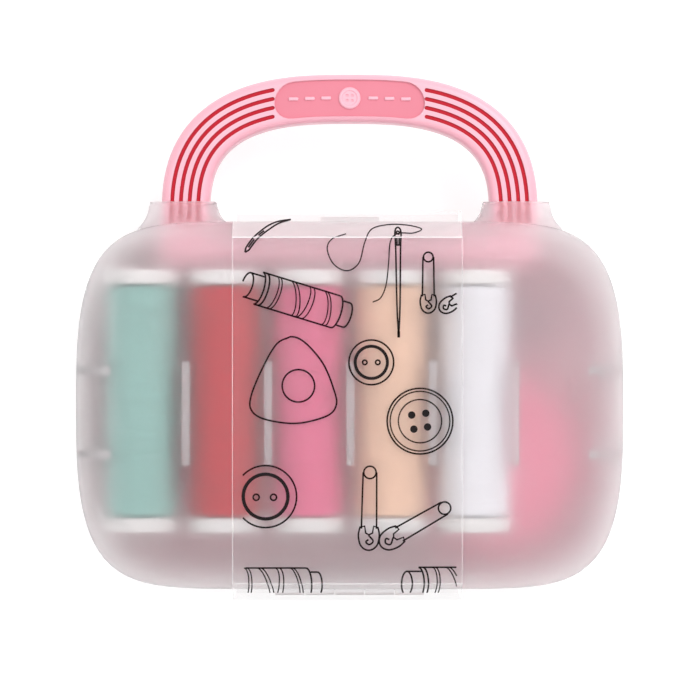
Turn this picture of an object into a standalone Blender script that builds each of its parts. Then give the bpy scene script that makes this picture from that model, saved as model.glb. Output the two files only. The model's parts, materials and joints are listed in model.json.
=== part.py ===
"""Clamshell sewing box with a carrying handle, five thread spools, a tool tray and a clear sleeve.

The box lies on its back: +Z comes out of its front face, +Y points to the handle, X runs across.
The back half stays put, and the front half, with the spools, swings open on the bottom hinge.
"""
import math

import bmesh
import bpy
from mathutils import Matrix, Vector

# Driving dimensions, in metres
HALF_WIDTH = 0.07485          # body, across X
HALF_HEIGHT = 0.0503          # body, along Y
HALF_DEPTH = 0.0220           # each shell, along Z
SIDE_POWER = 7.8              # superellipse powers of the body's outline
TOP_POWER = 3.07
EDGE_RADIUS = 0.0100          # rounding between the rim and the flat face
WALL = 0.0013
TOUCH_GAP = 0.0003            # clearance between pieces that touch
PART_GAP = 0.0003             # seam between the two shells

HANDLE_HALF_SPAN = 0.0454     # leg centreline, from the body's centre
HANDLE_SPRING = HALF_HEIGHT + 0.0005    # where the legs turn into the arch
HANDLE_RISE = 0.0338          # arch centreline, from the spring to its highest point
HANDLE_POWER = 2.79
HANDLE_BAND = 0.0132          # width of the band, seen from the front
HANDLE_THICK = 0.0110
HANDLE_SKIN = 0.0020          # wall of the covers over the slots
HANDLE_RIM = 0.0016           # side wall of the covers
SLOT_COUNT = 4
SLOT_PITCH = 0.0024
SLOT_WIDTH = 0.0010
CORE_SLIP = 0.00025           # clearance of the core's ribs in the slots
SLOT_END = 0.0215             # distance of the slots' ends from the centre
PANEL_HALF_LENGTH = 0.0208
PANEL_HEIGHT = 0.0102
PANEL_DEPTH = 0.0008
BAR_LOW = HALF_HEIGHT - 0.0117          # handle's inner crossbar, from the body's centre
BAR_HEIGHT = 0.0084
SLOT_LOW = HALF_HEIGHT - 0.0008         # lower ends of the slots, inside the collars

COLLAR_CENTRE = HANDLE_HALF_SPAN + 0.0006
COLLAR_TOP = HALF_HEIGHT + 0.0056
COLLAR_HALF_WIDTH = HANDLE_BAND / 2 + WALL + 0.0014
COLLAR_HALF_DEPTH = HANDLE_THICK / 2 + WALL + 0.0028
COLLAR_CORNER = 0.0045
COLLAR_HEIGHT = 0.0074        # from the top down to where the flare is widest
COLLAR_ROOT = 0.0060          # overlap with the body below its top
FLARE_OUT = 0.0030            # away from the middle of the box
FLARE_IN = 0.0054
FLARE_FRONT = 0.0026
FLARE_POWER = 2.4

HINGE_RADIUS = 0.0022
PIN_RADIUS = 0.0008
KNUCKLE_COUNT = 5
KNUCKLE_LENGTH = 0.0080
HINGE_STANDOFF = 0.0003       # axis outside the body's bottom

LATCH_HALF_WIDTH = 0.0080
LATCH_THICK = 0.0012
LATCH_REACH = 0.0052
LATCH_WINDOW_HALF = 0.0050
LATCH_BRIDGE = 0.0012         # material above and below the window
NUB_HEIGHT = 0.0011

SPOOL_PITCH = 0.0227
SPOOL_COUNT = 5
SPOOL_LENGTH = 0.0716
SPOOL_Y = 0.00125
THREAD_RADIUS = 0.0101
CAP_RADIUS = 0.0103
CAP_HEIGHT = 0.0040
CORE_RADIUS = 0.0062
SPOOL_BORE = 0.0018
CAP_EDGE = 0.0005
THREAD_EDGE = 0.0003
THREAD_SLOPE = 0.0008

RIB_PITCH = 0.0223
RIB_WIDTH = 0.0022
RIB_LOW = -0.0162
RIB_HIGH = 0.0120
RIB_DEPTH = 0.0045
SIDE_RIB_LENGTH = 0.0088
SIDE_RIB_START = 0.0020       # above the seam
SIDE_RIB_WIDTH = 0.0021
SIDE_RIB_YS = (0.0096, -0.0132)

TRAY_WALL = 0.0010
TRAY_GAP = 0.0004
TRAY_HEIGHT = 0.0148          # rim above the box's back face
NEST_HEIGHT = 0.0022          # ring round the tape measure
NEST_SIDES = 40

TAPE_CENTRE = (0.0380, -0.0155)
TAPE_RADIUS = 0.0252
TAPE_THICK = 0.0136
TAPE_WALL = 0.0012
TAPE_EDGE = 0.0030
REEL_RADIUS = 0.0195
BUTTON_RADIUS = 0.0065
BUTTON_TRAVEL = 0.0012
BUTTON_RIM = 0.0012           # flange that keeps the button in
BUTTON_FLANGE = 0.0008
BUTTON_EDGE = 0.0006
TAPE_CHAMFER = 0.0010
TAPE_INNER_EDGE = 0.0020
STRIP_HALF = 0.0040           # half the tape's width
STRIP_THICK = 0.0004
EXIT_LENGTH = 0.0152          # slot that the tape leaves through
TAB_THICK = 0.0009

SCISSORS_PIVOT = (-0.0330, 0.0030)
SCISSORS_TILT = math.radians(-20)
BLADE_LENGTH = 0.0350
BLADE_THICK = 0.0010
BOW_RADIUS = 0.0090
BOW_DISTANCE = 0.0290
BOW_THICK = 0.0036
BOW_BAND = 0.0032
RIVET_RADIUS = 0.0012
RIVET_HEAD = 0.0020
RIVET_HEIGHT = 0.0008
BLADE_HIP = 0.0042            # half width beside the pivot
TANG_HALF = 0.0018
TANG_LENGTH = 0.0170          # from the pivot to the tang's end
TANG_ROOM = 0.0040
SHANK_NEAR = 0.0010           # shank's side next to the other bow
SHANK_START = 0.0112          # from the pivot
SHANK_ROOT = 0.0020

TUBE_RADIUS = 0.0032
TUBE_WALL = 0.0006
TUBE_LENGTH = 0.0440
TUBE_CENTRE = (0.0330, 0.0230)
TUBE_LIFT = 0.0004            # above the tray's floor
TUBE_CAP = 0.0035
TUBE_PLUG = 0.0025
TUBE_EDGE = 0.0006
NEEDLE_RADIUS = 0.0004
NEEDLE_SHORTER = 0.0060       # than the tube
NEEDLE_DROP = 0.0015          # towards the tube's closed end
NEEDLE_COUNT = 3

FILM = 0.0003
FILM_HALF_WIDTH = 0.0319
FILM_CREASE_TOP = HALF_HEIGHT - 0.0047  # crease between the front panel and the upper slope
FILM_CREASE_LOW = HALF_HEIGHT - 0.0022
FILM_CLEAR = 0.0003
FILM_FLAT = 0.0125            # half depth of the sleeve's top and bottom strips

CUT = 0.0010                  # how far a cutter passes the surface that it cuts

# Places worked out from them
HANDLE_REACH = HANDLE_SPRING + HANDLE_RISE
BACK_Z = FILM + FILM_CLEAR
MID_Z = BACK_Z + HALF_DEPTH
HINGE_Y = -(HALF_HEIGHT + HINGE_STANDOFF)
FILM_LOW = HINGE_Y - HINGE_RADIUS - FILM_CLEAR
FILM_HIGH = -FILM_LOW
BODY_Y = -(HANDLE_REACH + HANDLE_BAND / 2 + FILM_LOW - FILM) / 2
SPOOL_Z = MID_Z + HALF_DEPTH - WALL - 2 * TOUCH_GAP - CAP_RADIUS
TRAY_FLOOR = BACK_Z + WALL + TRAY_GAP
TOOL_Z = TRAY_FLOOR + TRAY_WALL + TOUCH_GAP
BAY_XS = [(i - SPOOL_COUNT / 2) * SPOOL_PITCH for i in range(SPOOL_COUNT)]
RIB_XS = [(i - (SPOOL_COUNT - 1) / 2) * RIB_PITCH for i in range(SPOOL_COUNT)]

THREADS = (
    ("mint", (0.33, 0.62, 0.55)),
    ("red", (0.66, 0.05, 0.10)),
    ("rose", (0.82, 0.20, 0.38)),
    ("beige", (0.86, 0.66, 0.48)),
    ("white", (0.90, 0.90, 0.92)),
)

SIDES = 48                    # points round the body's outline
ROUND = 20                    # sides of a turned piece
SLOT_STEPS = 8                # points along a slot's edge


def clear_scene():
    for item in list(bpy.data.objects):
        bpy.data.objects.remove(item, do_unlink=True)


clear_scene()
parts = bpy.data.collections.new("sewing_box")
cutters = bpy.data.collections.new("sewing_box_cutters")
for group in (parts, cutters):
    bpy.context.scene.collection.children.link(group)
body_frame = bpy.data.objects.new("body_frame", None)
body_frame.location = (0, BODY_Y, 0)
parts.objects.link(body_frame)
bpy.context.view_layer.update()


def material(name, colour, roughness=0.5, metallic=0.0, alpha=1.0):
    found = bpy.data.materials.get(name)
    if found:
        return found
    made = bpy.data.materials.new(name)
    made.use_nodes = True
    shader = made.node_tree.nodes["Principled BSDF"]
    shader.inputs["Base Color"].default_value = (*colour, 1)
    shader.inputs["Roughness"].default_value = roughness
    shader.inputs["Metallic"].default_value = metallic
    shader.inputs["Alpha"].default_value = alpha
    made.diffuse_color = (*colour, alpha)
    return made


def frosted():
    return material("frosted_polypropylene", (0.84, 0.80, 0.82), 0.45, alpha=0.5)


def handle_pink():
    return material("handle_pink", (0.95, 0.52, 0.62), 0.4)


def white_plastic():
    return material("spool_white", (0.88, 0.87, 0.88), 0.45)


def tool_pink():
    return material("tool_pink", (0.90, 0.22, 0.38), 0.35)


def tape_white():
    return material("tape_white", (0.92, 0.90, 0.84), 0.6)


def steel():
    return material("tool_steel", (0.75, 0.75, 0.77), 0.25, 1.0)


def new_object(name, mesh, group, parent=None):
    made = bpy.data.objects.new(name, mesh)
    group.objects.link(made)
    made.parent = parent or body_frame
    return made


def sub_part(name, mesh, paint, parent=None, place=(0, 0, 0)):
    made = new_object(name, mesh, parts, parent)
    made.location = place
    mesh.materials.clear()
    mesh.materials.append(paint)
    mesh.shade_smooth()
    mesh.set_sharp_from_angle(angle=math.radians(35))
    return made


def cutter(name, mesh):
    made = new_object(name, mesh, cutters)
    made.hide_render = True
    made.display_type = "WIRE"
    return made


def to_mesh(name, bm):
    bmesh.ops.recalc_face_normals(bm, faces=bm.faces)
    mesh = bpy.data.meshes.new(name)
    bm.to_mesh(mesh)
    bm.free()
    return mesh


def combine(target, operation, *tools):
    for tool in tools:
        step = target.modifiers.new(f"{operation.lower()}_{tool.name}", "BOOLEAN")
        step.operation = operation
        step.object = tool
        step.solver = "EXACT"


def loft(name, rings):
    """A closed solid through rings of points, flat at both ends."""
    bm = bmesh.new()
    rows = [[bm.verts.new(point) for point in ring] for ring in rings]
    for low, high in zip(rows, rows[1:]):
        for i in range(len(low)):
            j = (i + 1) % len(low)
            bm.faces.new((low[i], low[j], high[j], high[i]))
    bm.faces.new(rows[0])
    bm.faces.new(rows[-1])
    return to_mesh(name, bm)


def boxes(name, spans):
    """Boxes in one mesh, each from its lowest corner to its highest."""
    bm = bmesh.new()
    for low, high in spans:
        size = [h - l for l, h in zip(low, high)]
        middle = [(h + l) / 2 for l, h in zip(low, high)]
        bmesh.ops.create_cube(bm, size=1, matrix=Matrix.LocRotScale(Vector(middle), None, Vector(size)))
    return to_mesh(name, bm)


def cylinders(name, radius, spans, centre, sides=ROUND, axis="X"):
    """Cylinders in one mesh along an axis, each between two places on it."""
    bm = bmesh.new()
    turn = Matrix.Rotation(math.pi / 2, 4, {"X": "Y", "Y": "X"}[axis])
    for low, high in spans:
        along = Vector(centre)
        along["XYZ".index(axis)] += (low + high) / 2
        bmesh.ops.create_cone(
            bm, cap_ends=True, segments=sides, radius1=radius, radius2=radius, depth=high - low,
            matrix=Matrix.Translation(along) @ turn,
        )
    return to_mesh(name, bm)


def turned(name, profile, paint, parent, place=(0, 0, 0), turn=(0, 0, 0), sides=ROUND):
    """A turned solid: the profile, from top to bottom down the outer side, round Z."""
    bm = bmesh.new()
    row = [bm.verts.new((radius, 0, z)) for radius, z in profile]
    closed = row if profile[0][0] == 0 else row + row[:1]
    for first, second in zip(closed, closed[1:]):
        bm.edges.new((first, second))
    mesh = bpy.data.meshes.new(name)
    bm.to_mesh(mesh)
    bm.free()
    made = sub_part(name, mesh, paint, parent, place)
    made.rotation_euler = turn
    screw = made.modifiers.new("turn", "SCREW")
    screw.axis = "Z"
    screw.steps = sides
    screw.render_steps = sides
    screw.use_merge_vertices = True
    screw.merge_threshold = 0.00001
    screw.use_normal_calculate = False
    return made


def plate(name, loops, low, high):
    """A flat piece between two heights; its first loop is the outline and the others are holes."""
    curve = bpy.data.curves.new(name, "CURVE")
    curve.dimensions = "2D"
    curve.fill_mode = "BOTH"
    curve.extrude = (high - low) / 2
    for loop in loops:
        spline = curve.splines.new("POLY")
        spline.points.add(len(loop) - 1)
        for point, (x, y) in zip(spline.points, loop):
            point.co = (x, y, 0, 1)
        spline.use_cyclic_u = True
    drawn = bpy.data.objects.new(name + "_drawn", curve)
    cutters.objects.link(drawn)
    bpy.context.view_layer.update()
    mesh = bpy.data.meshes.new_from_object(drawn.evaluated_get(bpy.context.evaluated_depsgraph_get()))
    bpy.data.objects.remove(drawn, do_unlink=True)
    bm = bmesh.new()
    bm.from_mesh(mesh)
    bmesh.ops.remove_doubles(bm, verts=bm.verts, dist=0.000005)
    bmesh.ops.translate(bm, verts=bm.verts, vec=(0, 0, (low + high) / 2))
    bmesh.ops.recalc_face_normals(bm, faces=bm.faces)
    bm.to_mesh(mesh)
    bm.free()
    mesh.name = name
    return mesh


# The body's form

def signed_power(value, power):
    return math.copysign(abs(value) ** power, value)


def outline(inset, sides=SIDES):
    """The body's outline, drawn in by an inset: a superellipse with bowed sides."""
    points = []
    for i in range(sides):
        angle = 2 * math.pi * i / sides
        x = (HALF_WIDTH - inset) * signed_power(math.cos(angle), 2 / SIDE_POWER)
        y = (HALF_HEIGHT - inset) * signed_power(math.sin(angle), 2 / TOP_POWER)
        points.append((x, y))
    return points


def half_form(name, inset, start, stop, side, steps=4):
    """Half the body, from a start off the middle plane to its rounded face at stop."""
    radius = EDGE_RADIUS - inset
    rings = [[(x, y, MID_Z + side * start) for x, y in outline(inset)]]
    for step in range(steps + 1):
        angle = math.pi / 2 * step / steps
        drop = radius * (1 - math.cos(angle))
        depth = stop - radius * (1 - math.sin(angle))
        rings.append([(x, y, MID_Z + side * depth) for x, y in outline(inset + drop)])
    return loft(name, rings)


def collar_form(name, inset, side, centre, low, high, start):
    """Half a collar: a flared funnel round a handle leg, from the seam outwards."""
    rings = []
    steps = 5
    for step in range(steps + 1):
        y = low + (high - low) * step / steps
        fall = min(1.0, max(0.0, (COLLAR_TOP - y) / COLLAR_HEIGHT))
        flare = fall ** FLARE_POWER
        half = COLLAR_HALF_WIDTH - inset
        depth = COLLAR_HALF_DEPTH - inset + FLARE_FRONT * flare
        corner = COLLAR_CORNER - inset
        ring = [(-half, start)]
        for i in range(4):
            angle = math.pi / 2 * i / 3
            ring.append((-half + corner * (1 - math.cos(angle)), depth - corner * (1 - math.sin(angle))))
        outer = [(x - FLARE_OUT * flare, z) for x, z in ring]
        inner = [(-x + FLARE_IN * flare, z) for x, z in reversed(ring)]
        middle = -math.copysign(1, centre)
        rings.append([(centre + middle * x, y, MID_Z + side * z) for x, z in outer + inner])
    return loft(name, rings)


def knuckle_spans(first, clearance=0.0):
    """The hinge knuckles of one shell along X: every other one, from the first."""
    pitch = KNUCKLE_LENGTH + TOUCH_GAP
    whole = KNUCKLE_COUNT * pitch - TOUCH_GAP
    starts = [-whole / 2 + i * pitch for i in range(first, KNUCKLE_COUNT, 2)]
    return [(start - clearance, start + KNUCKLE_LENGTH + clearance) for start in starts]


def shell(name, side, first_knuckle):
    """One half of the clamshell. Side is 1 for the front half and -1 for the back half."""
    start = PART_GAP / 2
    made = sub_part(name, half_form(name, 0, start, HALF_DEPTH, side), frosted())
    ends = (-COLLAR_CENTRE, COLLAR_CENTRE)
    low = HALF_HEIGHT - COLLAR_ROOT
    collars = [
        cutter(f"{name}_collar_{i}", collar_form("collar", 0, side, x, low, COLLAR_TOP, start))
        for i, x in enumerate(ends)
    ]
    passages = [
        cutter(
            f"{name}_passage_{i}",
            collar_form("passage", WALL, side, x, low - COLLAR_ROOT, COLLAR_TOP + CUT, -CUT),
        )
        for i, x in enumerate(ends)
    ]
    cavity = cutter(f"{name}_cavity", half_form("cavity", WALL, -CUT, HALF_DEPTH - WALL, side))
    axis = (0, HINGE_Y, MID_Z)
    spans = knuckle_spans(first_knuckle)
    own = cutter(f"{name}_knuckles", cylinders("knuckles", HINGE_RADIUS, spans, axis))
    other = cutter(
        f"{name}_reliefs",
        cylinders(
            "reliefs", HINGE_RADIUS + TOUCH_GAP, knuckle_spans(1 - first_knuckle, TOUCH_GAP), axis,
        ),
    )
    reach = KNUCKLE_COUNT * KNUCKLE_LENGTH
    bore = cutter(f"{name}_pin_bore", cylinders("bore", PIN_RADIUS + TOUCH_GAP, [(-reach, reach)], axis))
    combine(made, "UNION", *collars)
    combine(made, "DIFFERENCE", cavity, *passages)
    combine(made, "UNION", own)
    combine(made, "DIFFERENCE", other, bore)
    return made


def spool_ribs():
    """Ribs inside the front shell: five upright ones between the spools and two pairs at the sides."""
    front = MID_Z + HALF_DEPTH
    spans = [
        ((x - RIB_WIDTH / 2, RIB_LOW, front - WALL - RIB_DEPTH), (x + RIB_WIDTH / 2, RIB_HIGH, front))
        for x in RIB_XS
    ]
    for y in SIDE_RIB_YS:
        for turn in (-1, 1):
            ends = sorted((turn * HALF_WIDTH, turn * (HALF_WIDTH - WALL - SIDE_RIB_LENGTH)))
            spans.append((
                (ends[0], y - SIDE_RIB_WIDTH / 2, MID_Z + SIDE_RIB_START),
                (ends[1], y + SIDE_RIB_WIDTH / 2, front),
            ))
    ribs = cutter("front_shell_ribs", boxes("ribs", spans))
    trim = cutter("front_shell_rib_trim", half_form("trim", WALL / 2, 0, HALF_DEPTH - WALL / 2, 1))
    room = [
        cutter(f"spool_room_{i}", cylinders(
            "room", CAP_RADIUS + 2 * TOUCH_GAP, [(-HALF_HEIGHT, HALF_HEIGHT)],
            (turn * SPOOL_COUNT / 2 * SPOOL_PITCH, 0, SPOOL_Z), axis="Y",
        ))
        for i, turn in enumerate((-1, 1))
    ]
    combine(ribs, "INTERSECT", trim)
    combine(ribs, "DIFFERENCE", *room)
    return ribs


def make_shells():
    back = shell("back_shell", -1, 0)
    front = shell("front_shell", 1, 1)
    combine(front, "UNION", spool_ribs())
    top = HALF_HEIGHT + TOUCH_GAP
    block = boxes("latch", [(
        (-LATCH_HALF_WIDTH, HALF_HEIGHT - WALL / 2, MID_Z + PART_GAP),
        (LATCH_HALF_WIDTH, top + LATCH_THICK, MID_Z + LATCH_REACH),
    )])
    tab = boxes("tab", [(
        (-LATCH_HALF_WIDTH, top, MID_Z - LATCH_REACH),
        (LATCH_HALF_WIDTH, top + LATCH_THICK, MID_Z + LATCH_REACH / 2),
    )])
    window = boxes("window", [(
        (-LATCH_WINDOW_HALF, top - CUT, MID_Z - LATCH_REACH + LATCH_BRIDGE),
        (LATCH_WINDOW_HALF, top + LATCH_THICK + CUT, MID_Z - LATCH_BRIDGE),
    )])
    nub_low = MID_Z - LATCH_REACH + LATCH_BRIDGE + TOUCH_GAP
    nub = boxes("nub", [(
        (-LATCH_WINDOW_HALF + TOUCH_GAP, HALF_HEIGHT - WALL / 2, nub_low),
        (LATCH_WINDOW_HALF - TOUCH_GAP, top + LATCH_THICK * 0.75, nub_low + NUB_HEIGHT),
    )])
    combine(front, "UNION", cutter("latch_block", block), cutter("latch_tab", tab))
    combine(front, "DIFFERENCE", cutter("latch_window", window))
    combine(back, "UNION", cutter("latch_nub", nub))


def make_hinge_pin():
    half = (KNUCKLE_COUNT * (KNUCKLE_LENGTH + TOUCH_GAP) - TOUCH_GAP) / 2
    mesh = cylinders("hinge_pin", PIN_RADIUS, [(-half, half)], (0, HINGE_Y, MID_Z), sides=12)
    sub_part("hinge_pin", mesh, steel())


# The handle

def arch(offset, steps=18, start=0.0, stop=math.pi):
    """Points along the handle's arch from right to left, moved outwards by an offset."""
    points = []
    rise = HANDLE_REACH - HANDLE_SPRING
    for i in range(steps + 1):
        angle = start + (stop - start) * i / steps
        c, s = math.cos(angle), math.sin(angle)
        x = HANDLE_HALF_SPAN * signed_power(c, 2 / HANDLE_POWER)
        y = HANDLE_SPRING + rise * abs(s) ** (2 / HANDLE_POWER)
        nx = signed_power(abs(x) / HANDLE_HALF_SPAN, HANDLE_POWER - 1) / HANDLE_HALF_SPAN
        nx = math.copysign(nx, x)
        ny = (abs(y - HANDLE_SPRING) / rise) ** (HANDLE_POWER - 1) / rise
        length = math.hypot(nx, ny)
        points.append((x + offset * nx / length, y + offset * ny / length))
    return points


def handle_loops(inset):
    """The handle's closed outline and the opening in it, both drawn in by an inset."""
    half = HANDLE_BAND / 2 - inset
    outside = arch(half)
    inside = arch(-half)
    low = BAR_LOW + inset
    high = BAR_LOW + BAR_HEIGHT - inset
    outer = [(outside[0][0], low), *outside, (outside[-1][0], low)]
    inner = [(inside[0][0], high), *inside, (inside[-1][0], high)]
    return [outer, inner]


def slot_loop(offset, half_width, side, low):
    """One slot along a leg: two offset curves joined by a round upper end and a square lower end."""
    def end_angle(shift):
        low_angle, high_angle = 0.0, math.pi / 2
        for _ in range(40):
            middle = (low_angle + high_angle) / 2
            if arch(shift, 1, middle, math.pi / 2)[0][0] > SLOT_END:
                low_angle = middle
            else:
                high_angle = middle
        return high_angle

    outer = arch(offset + half_width, SLOT_STEPS, 0, end_angle(offset + half_width))
    inner = arch(offset - half_width, SLOT_STEPS, 0, end_angle(offset - half_width))
    tip = ((outer[-1][0] + inner[-1][0]) / 2 - half_width, (outer[-1][1] + inner[-1][1]) / 2)
    loop = [(outer[0][0], low), *outer, tip, *reversed(inner), (inner[0][0], low)]
    return [(side * x, y) for x, y in loop]


def slot_loops(half_width, low):
    offsets = [(i - (SLOT_COUNT - 1) / 2) * SLOT_PITCH for i in range(SLOT_COUNT)]
    return [slot_loop(offset, half_width, side, low) for side in (1, -1) for offset in offsets]


def pill_loop():
    """The recessed panel at the middle of the arch, with round ends."""
    half = PANEL_HEIGHT / 2
    points = []
    for side in (1, -1):
        for i in range(9):
            angle = math.pi * i / 8 - math.pi / 2
            x = side * (PANEL_HALF_LENGTH - half + half * math.cos(angle))
            points.append((x, HANDLE_REACH + side * half * math.sin(angle)))
    return points


def slot_cutters(name, half_width, low, bottom, top):
    return [
        cutter(f"{name}_{i}", plate(name, [loop], bottom, top))
        for i, loop in enumerate(slot_loops(half_width, low))
    ]


def make_handle():
    half = HANDLE_THICK / 2
    for name, side in (("handle_front_cover", 1), ("handle_back_cover", -1)):
        ends = sorted((MID_Z + side * TOUCH_GAP / 2, MID_Z + side * half))
        cover = sub_part(name, plate(name, handle_loops(0), *ends), handle_pink())
        floor = sorted((MID_Z - side * CUT, MID_Z + side * (half - HANDLE_SKIN)))
        pocket = cutter(f"{name}_pocket", plate("pocket", handle_loops(HANDLE_RIM), *floor))
        through = sorted((MID_Z + side * (half - HANDLE_SKIN - CUT), MID_Z + side * (half + CUT)))
        slots = slot_cutters(f"{name}_slot", SLOT_WIDTH / 2, SLOT_LOW, *through)
        combine(cover, "DIFFERENCE", pocket, *slots)
        panel = sorted((MID_Z + side * (half - PANEL_DEPTH), MID_Z + side * (half + CUT)))
        combine(cover, "DIFFERENCE", cutter(f"{name}_panel", plate("panel", [pill_loop()], *panel)))

    gap = TOUCH_GAP
    body = HANDLE_THICK / 2 - HANDLE_SKIN - gap
    core = sub_part(
        "handle_core",
        plate("handle_core", handle_loops(HANDLE_RIM + gap), MID_Z - body, MID_Z + body),
        material("handle_red", (0.74, 0.035, 0.08), 0.4),
    )
    rib = HANDLE_THICK / 2 - gap
    combine(core, "UNION", *slot_cutters(
        "core_rib", SLOT_WIDTH / 2 - CORE_SLIP, SLOT_LOW + gap, MID_Z - rib, MID_Z + rib,
    ))


# The spools

def make_spools():
    half = SPOOL_LENGTH / 2
    seat = half - CAP_HEIGHT
    for x, (colour, shade) in zip(BAY_XS, THREADS):
        place = bpy.data.objects.new(f"{colour}_spool_axis", None)
        place.location = (x, SPOOL_Y, SPOOL_Z)
        place.rotation_euler = (math.radians(-90), 0, 0)
        parts.objects.link(place)
        place.parent = body_frame
        core = [
            (CAP_RADIUS - CAP_EDGE, half), (CAP_RADIUS, half - CAP_EDGE), (CAP_RADIUS, seat),
            (CORE_RADIUS, seat), (CORE_RADIUS, -seat), (CAP_RADIUS, -seat),
            (CAP_RADIUS, -half + CAP_EDGE), (CAP_RADIUS - CAP_EDGE, -half), (SPOOL_BORE, -half),
            (SPOOL_BORE, half),
        ]
        turned(f"{colour}_spool_core", core, white_plastic(), place)
        edge = seat - TOUCH_GAP
        thread = [
            (THREAD_RADIUS - THREAD_EDGE, edge), (THREAD_RADIUS, edge - THREAD_SLOPE),
            (THREAD_RADIUS, -edge + THREAD_SLOPE), (THREAD_RADIUS - THREAD_EDGE, -edge),
            (CORE_RADIUS + TOUCH_GAP, -edge), (CORE_RADIUS + TOUCH_GAP, edge),
        ]
        turned(f"{colour}_thread", thread, material(f"{colour}_thread", shade, 0.8), place)


# The tray and the tools in it

def make_tray():
    gap = WALL + TRAY_GAP
    rim = HALF_DEPTH - TRAY_HEIGHT
    tray = sub_part("tool_tray", half_form("tool_tray", gap, rim, HALF_DEPTH - gap, -1),
                    material("tray_clear_pink", (0.90, 0.70, 0.75), 0.4, alpha=0.6))
    inner = gap + TRAY_WALL
    hollow = cutter("tray_hollow", half_form("hollow", inner, rim - CUT, HALF_DEPTH - inner, -1))
    combine(tray, "DIFFERENCE", hollow)
    radius = TAPE_RADIUS + 2 * TOUCH_GAP
    rings = [ring_points(TAPE_CENTRE, r, NEST_SIDES) for r in (radius + TRAY_WALL, radius)]
    nest = plate("tape_nest", rings, TRAY_FLOOR + TRAY_WALL / 2, TOOL_Z + NEST_HEIGHT)
    nest_ring = cutter("tray_tape_nest", nest)
    margin = gap + TRAY_WALL / 2
    trim = cutter("tray_trim", half_form("trim", margin, rim, HALF_DEPTH - margin, -1))
    combine(nest_ring, "INTERSECT", trim)
    combine(tray, "UNION", nest_ring)


def make_tape_measure():
    x, y = TAPE_CENTRE
    place = bpy.data.objects.new("tape_axis", None)
    place.location = (x, y, TOOL_Z)
    parts.objects.link(place)
    place.parent = body_frame
    split = TAPE_THICK / 2
    inner = TAPE_RADIUS - TAPE_WALL
    hole = BUTTON_RADIUS + TOUCH_GAP
    outer = TAPE_RADIUS - TAPE_EDGE
    bevel = TAPE_RADIUS - TAPE_CHAMFER
    top = TAPE_THICK - TAPE_WALL
    back = [
        (TAPE_RADIUS, split - TOUCH_GAP / 2), (TAPE_RADIUS, TAPE_EDGE), (bevel, TAPE_CHAMFER),
        (outer, 0), (0, 0), (0, TAPE_WALL), (inner - TAPE_INNER_EDGE, TAPE_WALL),
        (inner, TAPE_WALL + TAPE_INNER_EDGE), (inner, split - TOUCH_GAP / 2),
    ]
    front = [
        (outer, TAPE_THICK), (bevel, TAPE_THICK - TAPE_CHAMFER), (TAPE_RADIUS, TAPE_THICK - TAPE_EDGE),
        (TAPE_RADIUS, split + TOUCH_GAP / 2), (inner, split + TOUCH_GAP / 2),
        (inner, top - TAPE_INNER_EDGE), (inner - TAPE_INNER_EDGE, top), (hole, top), (hole, TAPE_THICK),
    ]
    cases = (
        turned("tape_case_back", back + back[:1], tool_pink(), place, sides=32),
        turned("tape_case_front", front, tool_pink(), place, sides=32),
    )
    reel_low = TAPE_WALL + TOUCH_GAP
    reel_high = top - BUTTON_TRAVEL - BUTTON_RIM
    reel = [
        (REEL_RADIUS, reel_high), (REEL_RADIUS, reel_low),
        (BUTTON_RADIUS, reel_low), (BUTTON_RADIUS, reel_high),
    ]
    turned("tape_reel", reel, tape_white(), place)
    head = TAPE_THICK + BUTTON_TRAVEL
    flange = top - TOUCH_GAP
    rim = BUTTON_RADIUS + BUTTON_RIM
    button = [
        (0, head), (BUTTON_RADIUS - BUTTON_EDGE, head), (BUTTON_RADIUS, head - BUTTON_EDGE),
        (BUTTON_RADIUS, flange), (rim, flange), (rim, flange - BUTTON_FLANGE), (0, flange - BUTTON_FLANGE),
    ]
    turned("tape_button", button, white_plastic(), place)
    low, high = split - STRIP_HALF, split + STRIP_HALF
    reach = REEL_RADIUS + TOUCH_GAP
    strip = boxes("tape_strip", [((-TAPE_RADIUS - 0.0008, -reach - STRIP_THICK, low), (0, -reach, high))])
    clear = 2 * TOUCH_GAP
    slot = cutter("tape_exit", boxes("exit", [(
        (-TAPE_RADIUS, -reach - STRIP_THICK - clear, low - clear),
        (-TAPE_RADIUS + EXIT_LENGTH, -reach + clear, high + clear),
    )]))
    slot.parent = place
    for case in cases:
        combine(case, "DIFFERENCE", slot)
    sub_part("tape_strip", strip, tape_white(), place)
    tab = boxes("tape_end_tab", [(
        (-TAPE_RADIUS - 0.0011 - TAB_THICK, -reach - 0.0022, low - STRIP_THICK),
        (-TAPE_RADIUS - 0.0011, -reach + 0.0018, high + STRIP_THICK),
    )])
    sub_part("tape_end_tab", tab, steel(), place)


def ring_points(centre, radius, steps=20):
    angles = [2 * math.pi * i / steps for i in range(steps)]
    return [(centre[0] + radius * math.cos(a), centre[1] + radius * math.sin(a)) for a in angles]


def blade(name, side, low, parent):
    """A blade with its tang. Side is the side of the pivot on which its finger bow lies."""
    hip = BLADE_HIP
    tang = BOW_RADIUS * 0.5
    half = [
        (0.0006, BLADE_LENGTH), (-hip, 0.0060), (-hip, -0.0030), (tang - TANG_HALF, -TANG_LENGTH),
        (tang + TANG_HALF, -TANG_LENGTH), (hip, -0.0030), (hip * 0.8, 0.0060),
    ]
    shape = [(side * x, y) for x, y in half]
    hole = ring_points((0, 0), RIVET_RADIUS + TOUCH_GAP, 16)
    mesh = plate(name, [shape, hole], low, low + BLADE_THICK)
    return sub_part(name, mesh, steel(), parent)


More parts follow.
